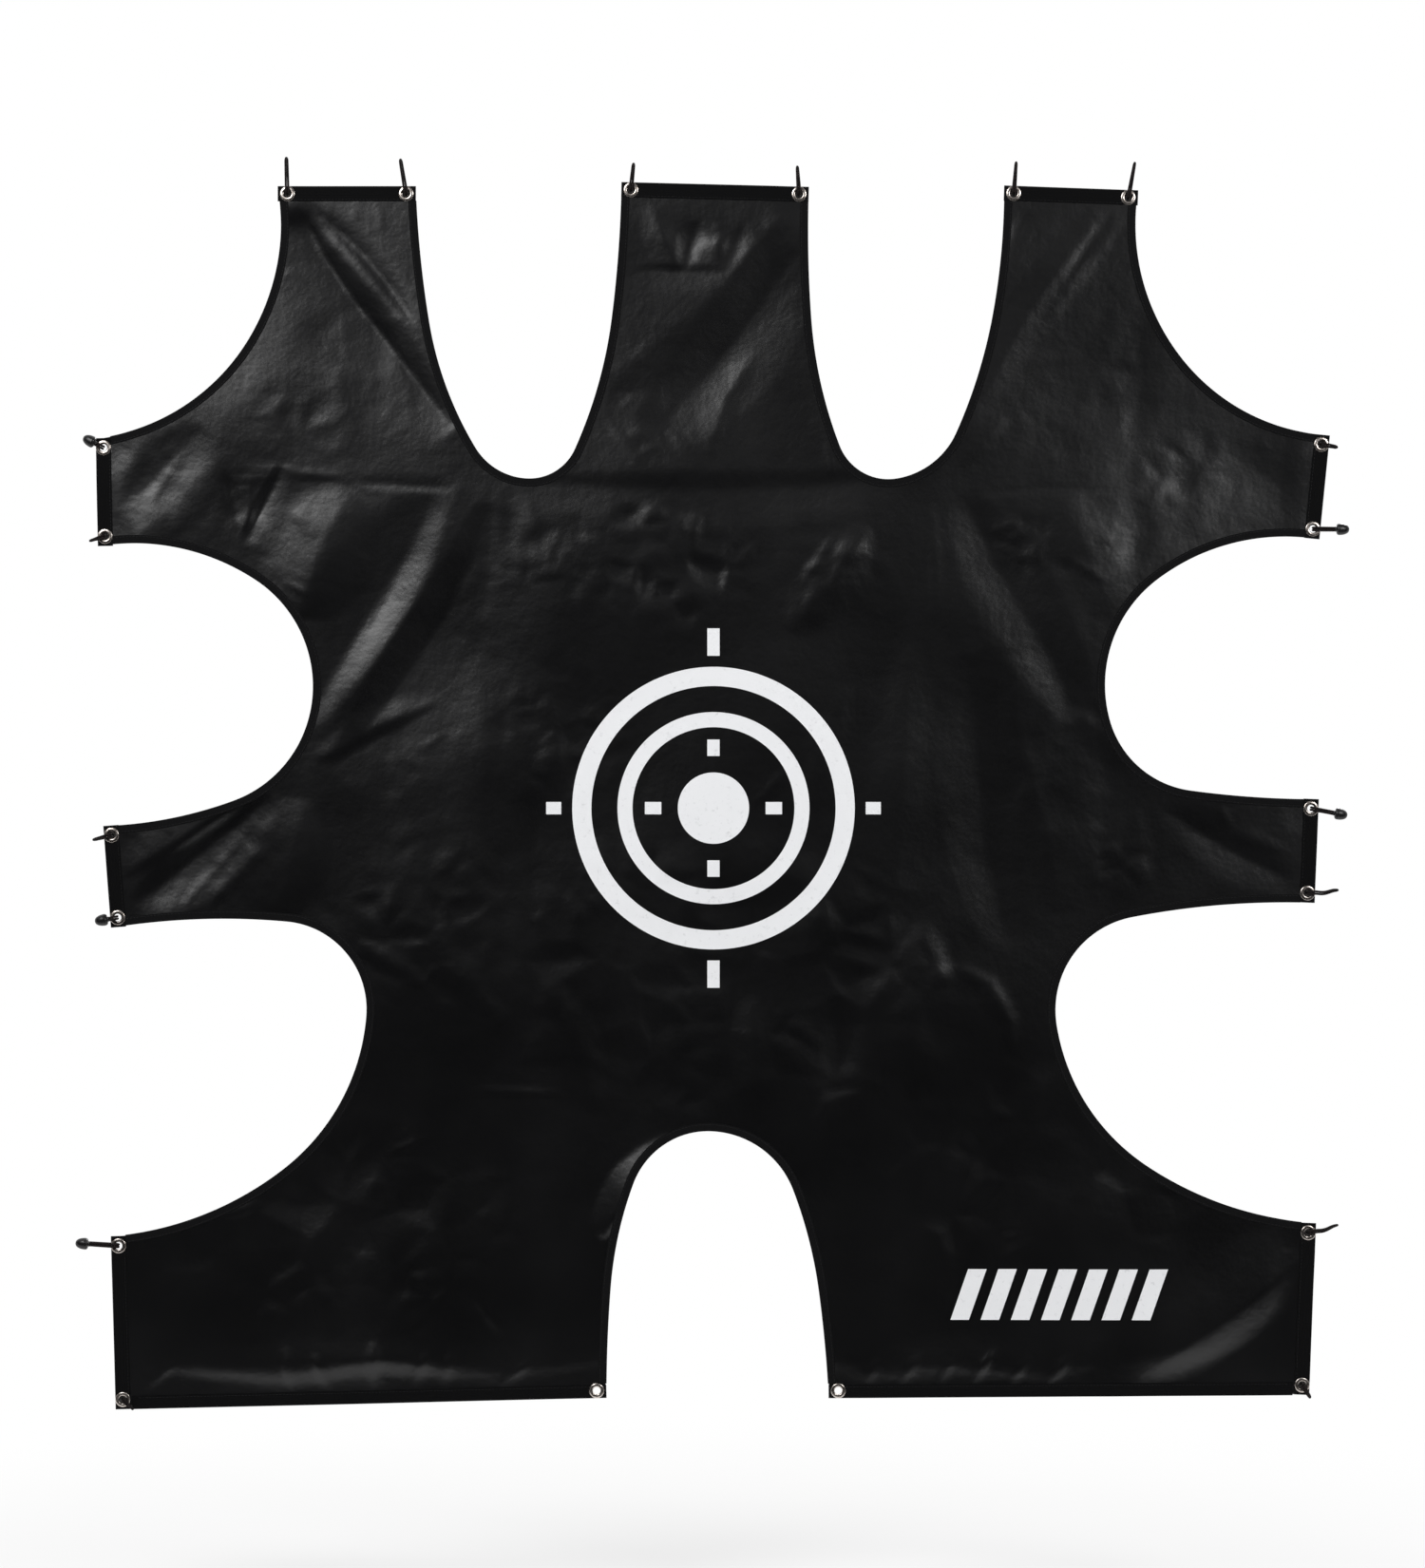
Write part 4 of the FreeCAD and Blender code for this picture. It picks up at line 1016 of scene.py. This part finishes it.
def folded_tape(name, runs, section, material, holes=()):
    # One object: the section swept along each run of stations, following the cloth, with UVs in metres
    corners, faces, uvs = [], [], []
    around = walked(section)
    for stations in runs:
        faces += capped_skin(len(stations), len(section), len(corners))
        places, headings = np.array(stations).T
        flat = places[:, None] - 1j * headings[:, None] * section.real
        depth = drape(flat) + section.imag
        corners += list(np.stack([flat.real, depth, flat.imag], axis=-1).reshape(-1, 3))
        uvs += [(a * MM, v * MM) for a in walked(places) for v in around]
    tape = mesh_object(name, corners, faces, [material])
    loops = np.zeros(len(tape.data.loops), np.int32)
    tape.data.loops.foreach_get("vertex_index", loops)
    layer = tape.data.uv_layers.new(name="UVMap")
    layer.data.foreach_set("uv", np.array(uvs)[loops].ravel())
    if holes:
        punch_holes(tape, holes)
    tape.data.shade_smooth()
    tape.data.set_sharp_from_angle(angle=SHARP_ANGLE)
    return carried(tape, "sheet")


def woven_tape(name, light, dark, thread, rough):
    # Woven polyester tape: matte black, its threads crossing in fine ribs
    made, tree, coords = new_material(name, "UV")
    along, across = (add(tree, "TexWave", {"Vector": coords, "Scale": wave_scale(pitch), "Distortion": 0.4},
                         bands_direction=way).outputs["Fac"]
                     for way, pitch in (("X", thread), ("Y", thread * 1.6)))
    weave = add(tree, "Math", {0: along, 1: across}, operation="MULTIPLY")
    fluff = add(tree, "TexNoise", {"Vector": coords, "Scale": per_metre(4), "Detail": 4.0})
    mixed = add(tree, "Math", {0: weave, 1: fluff}, operation="MULTIPLY")
    tint = add(tree, "ValToRGB", {"Fac": mixed}, ramp=((0, dark), (1, light)))
    bump = add(tree, "Bump", {"Height": weave, "Strength": 0.7, "Distance": 0.0004})
    return finished(made, add(tree, "BsdfPrincipled", {
        "Base Color": tint, "Roughness": rough, "Specular IOR Level": 0.12, "Sheen Weight": 0.03,
        "Normal": bump,
    }))


webbing = woven_tape("ribbed_polyester_webbing", "#0c0c0d", "#050506", 1.4, 0.85)
binding_tape = woven_tape("woven_binding_tape", "#1a1a1c", "#0b0b0c", 1.0, 0.9)
# A hem stops clear of the band at its corner, its seam further off, and a binding runs on under the bands
HEM_CLEARANCE = BAND_REACH + 0.1
HEM_SEAM_CLEARANCE = BAND_WIDTH + 2
BINDING_OVERLAP = 3


def beyond(stations, lines, distance):
    # The stations further than a distance from every line
    return [s for s in stations
            if all(beside_line(np.array([s[0]]), *line)[0][0] > distance for line in lines)]


def straight_run(name, clearance):
    # Stations along a band or a hem, out to the bindings' faces
    start, end = STRAIGHTS[name]
    overhang = heading_to(start, end) * (EDGE_GAP + BINDING_THICKNESS)
    stations = line_stations(start - overhang, end + overhang, TAPE_STEP)
    if name in BANDS:
        return stations
    return beyond(stations, [BANDS["right_lower" if name == "right_bottom" else "left_lower"]], clearance)


tapes = []
for names, reach, ending in ((BANDS, BAND_REACH, "band"), (HEMS, HEM_REACH, "hem")):
    section = taut_section(reach, WEBBING_THICKNESS, reach / 4, RIB_HEIGHT)
    for name in names:
        run = straight_run(name, HEM_CLEARANCE)
        tape = folded_tape(f"{name}_{ending}_webbing", [run], section, webbing,
                           eyelet_centers(name))
        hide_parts(f"{name}_{ending}")
        tapes.append(tape)

runs = []
for bay in BAYS:
    lines = [line for line in STRAIGHTS.values() if line[1] == bay_start(bay) or line[0] == bay_end(bay)]
    runs.append(beyond(bay_stations(bay, TAPE_STEP), lines, BAND_REACH - BINDING_OVERLAP))
section = taut_section(BINDING_REACH, BINDING_THICKNESS)
bindings = folded_tape("edge_binding_tape", runs, section, binding_tape)
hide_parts("edge_bindings")
tapes.append(bindings)


# Stitching: short raised threads along the tapes, front and back
def polyester_thread():
    # Bonded polyester thread: black with a slight wax shine and a twist
    made, tree, coords = new_material("bonded_polyester_thread")
    twist = add(tree, "TexNoise", {"Vector": coords, "Scale": per_metre(0.8), "Detail": 2.0})
    tint = add(tree, "ValToRGB", {"Fac": twist}, ramp=((0, "#0c0c0d"), (1, "#1d1d1f")))
    return finished(made, add(tree, "BsdfPrincipled", {
        "Base Color": tint, "Roughness": 0.5, "Specular IOR Level": 0.3,
    }))


STITCH_PITCH = 5.0
STITCH_LENGTH = 3.8
STITCH_RADIUS = 0.38
# A stitch's rings: share of the half length, and of the radius
STITCH_RINGS = ((-1, 0.05), (-0.75, 0.85), (0, 1), (0.75, 0.85), (1, 0.05))
STITCH_SIDES = 5
# Seams' distance from the tape's inner edge, and how deep the thread lies in the tape
WEBBING_SEAM = 4.0
BINDING_SEAM = 2.2
WEBBING_SUNK = 0.1
BINDING_SUNK = 0.05


def stitches(stations, inset, face):
    # Middle, heading and depth of each stitch on a row, front then back
    places, headings = np.array(stations).T
    seam = places - 1j * headings * inset
    along = walked(seam)
    middles = np.arange(STITCH_PITCH, along[-1] - STITCH_PITCH / 2, STITCH_PITCH)
    middle = np.interp(middles, along, seam)
    slope = np.interp(middles, along, np.unwrap(np.angle(headings)))
    # none in the eyelets' holes or under their flanges
    sewn = np.abs(middle[:, None] - np.array(EYELETS)).min(axis=1) > FLANGE_RADIUS
    middle, heading = middle[sewn], np.exp(1j * slope[sewn])
    return [(middle, heading, drape(middle) + side * face) for side in (FRONT, BACK)]


def stitch_mesh(rows):
    corners, faces = [], []
    angles = np.arange(STITCH_SIDES) * 2 * math.pi / STITCH_SIDES
    # out along the stitch, across it, and towards its back
    shape = [(reach * STITCH_LENGTH / 2, STITCH_RADIUS * share * math.cos(angle),
              STITCH_RADIUS * share * math.sin(angle)) for reach, share in STITCH_RINGS for angle in angles]
    for row in rows:
        for middle, heading, depth in zip(*row):
            faces += capped_skin(len(STITCH_RINGS), STITCH_SIDES, len(corners))
            for out, across, rise in shape:
                point = middle + heading * complex(out, across)
                corners.append((point.real, depth + rise, point.imag))
    return corners, faces


rows = []
for name in STRAIGHTS:
    width = BAND_WIDTH if name in BANDS else HEM_WIDTH
    run = straight_run(name, HEM_SEAM_CLEARANCE)
    rows += stitches(run, width - WEBBING_SEAM, WEBBING_FACE - WEBBING_SUNK)
for run in runs:
    rows += stitches(run, BINDING_REACH - BINDING_SEAM, BINDING_FACE - BINDING_SUNK)
stitching = mesh_object("edge_stitching", *stitch_mesh(rows), [polyester_thread()])
tapes.append(carried(stitching, "sheet"))


# Eyelets and washers
def nickel_plated_brass():
    # Nickel plate over stamped brass: bright, finely brushed by the press, with duller handling marks
    made, tree, coords = new_material("nickel_plated_brass")
    worn = add(tree, "TexNoise", {
        "Vector": coords, "Scale": per_metre(3), "Detail": 5.0, "Roughness": 0.65,
    })
    rough = add(tree, "MapRange", {"Value": worn, "To Min": 0.18, "To Max": 0.42})
    tint = add(tree, "ValToRGB", {"Fac": worn}, ramp=((0.3, "#a89a8a"), (0.5, "#d3cbc5")))
    bump = add(tree, "Bump", {"Height": worn, "Strength": 0.15, "Distance": 0.0003})
    return finished(made, add(tree, "BsdfPrincipled", {
        "Base Color": tint, "Metallic": 1.0, "Roughness": rough, "Normal": bump,
    }))


# Closed profiles (radius, depth): a barrel with a flange in front and its lip rolled over the washer behind
EYELET_PROFILE = [
    (11.0, -1.85), (10.95, -2.15), (10.5, -2.6), (9.7, -2.95), (8.6, -3.15), (7.6, -3.2), (6.7, -3.1),
    (6.0, -2.8), (5.6, -2.35), (5.5, -1.8), (5.5, 2.1), (5.65, 2.55), (6.0, 2.85), (6.35, 2.9),
    (6.45, 2.7), (6.3, 2.4), (6.25, 1.9), (6.25, -1.2), (6.5, -1.7), (7.0, -1.85),
]
WASHER_PROFILE = [
    (6.5, 1.82), (11.0, 1.82), (10.95, 2.05), (10.4, 2.4), (9.2, 2.7), (8.0, 2.8), (7.1, 2.7), (6.6, 2.45),
]
EYELET_TURNS = 56

plate = nickel_plated_brass()
eyelets = mesh_object("rolled_eyelets", *copies(EYELETS, EYELET_PROFILE, EYELET_TURNS), [plate])
carried(eyelets, "sheet")
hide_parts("eyelets")
washers = mesh_object("eyelet_back_washers", *copies(EYELETS, WASHER_PROFILE, EYELET_TURNS), [plate])
carried(washers, "sheet")
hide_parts("eyelet_washers")
tapes += [eyelets, washers]

edge = np.array(sheet_loop)
cut_area = abs(np.sum((edge.conjugate() * np.roll(edge, -1)).imag)) / 2


# Studio: a pale floor below the hung sheet, one large soft lamp from the upper left, a weak one from the
# right and one behind
FLOOR_HEIGHT = -1.18
FLOOR_RADIUS = 30
WORLD_FILL = 0.3
DRAPES_SIZE = (24, 12, 12)
DRAPES_FRONT = 0.6
DRAPES_LIFT = 0.01
# Lamps: name, place, what it is aimed at, diameter in metres and power in watts
LAMPS = [
    ("key_softbox", (-1.7, -2.5, 2.0), (-0.1, 0, 0.1), 1.9, 68),
    ("right_fill", (2.2, -2.4, 1.3), (0.1, 0, 0), 1.2, 38),
    ("back_softbox", (1.6, 3.4, 2.4), (0, 0, 0), 1.6, 120),
]


def looked_at(tree):
    # 1 for rays from the camera, straight, mirrored or let through, and 0 for those that light the part
    path = add(tree, "LightPath").outputs
    seen = add(tree, "Math", {0: path["Is Camera Ray"], 1: path["Is Glossy Ray"]}, operation="MAXIMUM")
    return add(tree, "Math", {0: seen, 1: path["Is Transmission Ray"]}, operation="MAXIMUM")


def studio_world():
    world = bpy.data.worlds.new("studio")
    world.use_nodes = True
    tree = world.node_tree
    tree.nodes.clear()
    strength = add(tree, "MapRange", {"Value": looked_at(tree), "To Min": WORLD_FILL, "To Max": 1.0})
    light = add(tree, "Background", {"Color": linear("#ffffff"), "Strength": strength})
    add(tree, "OutputWorld", {"Surface": light})
    SCENE.world = world


def pale_studio_floor():
    # Painted floor: keeps the shadow near the sheet and runs out to plain white
    made, tree, coords = new_material("pale_studio_floor")
    grain = add(tree, "TexNoise", {"Vector": coords, "Scale": per_metre(300), "Detail": 4.0})
    tint = add(tree, "Mix", {"Factor": grain, MIX_A: linear("#f6f6f6"), MIX_B: linear("#fcfcfc")},
               data_type="RGBA")
    paint = add(tree, "BsdfPrincipled", {
        "Base Color": tint.outputs[MIX_RESULT], "Roughness": 0.9, "Specular IOR Level": 0.1,
    })
    glow = add(tree, "Emission", {"Color": linear("#ffffff"), "Strength": 1.0})
    away = add(tree, "VectorMath", {0: coords}, operation="LENGTH").outputs["Value"]
    fade = add(tree, "MapRange", {"Value": away, "From Min": 0.2, "From Max": 2.2, "To Min": 0.6},
               interpolation_type="SMOOTHSTEP")
    share = add(tree, "Math", {0: looked_at(tree), 1: fade}, operation="MULTIPLY")
    return finished(made, add(tree, "MixShader", {0: share, 1: paint, 2: glow}))


def area_lamp(name, location, target, size, power):
    data = bpy.data.lights.new(name, "AREA")
    data.shape = "DISK"
    data.size = size
    data.energy = power
    lamp = linked(name, data)
    lamp.location = location
    lamp.rotation_euler = (Vector(target) - Vector(location)).to_track_quat("-Z", "Y").to_euler()


def black_velvet():
    # Cotton velvet: drinks nearly all the light, with a soft nap
    made, tree, coords = new_material("black_velvet")
    nap = add(tree, "TexNoise", {"Vector": coords, "Scale": per_metre(200), "Detail": 2.0})
    tint = add(tree, "ValToRGB", {"Fac": nap}, ramp=((0, "#020202"), (1, "#060606")))
    return finished(made, add(tree, "BsdfPrincipled", {
        "Base Color": tint, "Roughness": 1.0, "Specular IOR Level": 0.0,
    }))


def black_drapes():
    # Velvet round the camera's half of the studio, so that the black coating reflects only the lamps
    mesh = bpy.data.meshes.new("black_drapes")
    shape = bmesh.new()
    bmesh.ops.create_cube(shape, size=1)
    opening = [face for face in shape.faces if face.normal.y > 0.9]
    bmesh.ops.delete(shape, geom=opening, context="FACES_ONLY")
    shape.to_mesh(mesh)
    shape.free()
    mesh.materials.append(black_velvet())
    drapes = linked("black_drapes", mesh)
    width, depth, height = DRAPES_SIZE
    drapes.scale = DRAPES_SIZE
    drapes.location = (0, -DRAPES_FRONT - depth / 2, FLOOR_HEIGHT + DRAPES_LIFT + height / 2)
    for rays in ("camera", "diffuse", "transmission", "shadow"):
        setattr(drapes, f"visible_{rays}", False)


def studio_floor():
    mesh = bpy.data.meshes.new("studio_floor")
    shape = bmesh.new()
    bmesh.ops.create_circle(shape, cap_ends=True, segments=96, radius=FLOOR_RADIUS)
    shape.to_mesh(mesh)
    shape.free()
    mesh.materials.append(pale_studio_floor())
    floor = linked("studio_floor", mesh)
    floor.location = (0, 0, FLOOR_HEIGHT)


studio_world()
black_drapes()
studio_floor()
for lamp in LAMPS:
    area_lamp(*lamp)
SCENE.view_settings.view_transform = "Standard"

bpy.context.view_layer.update()
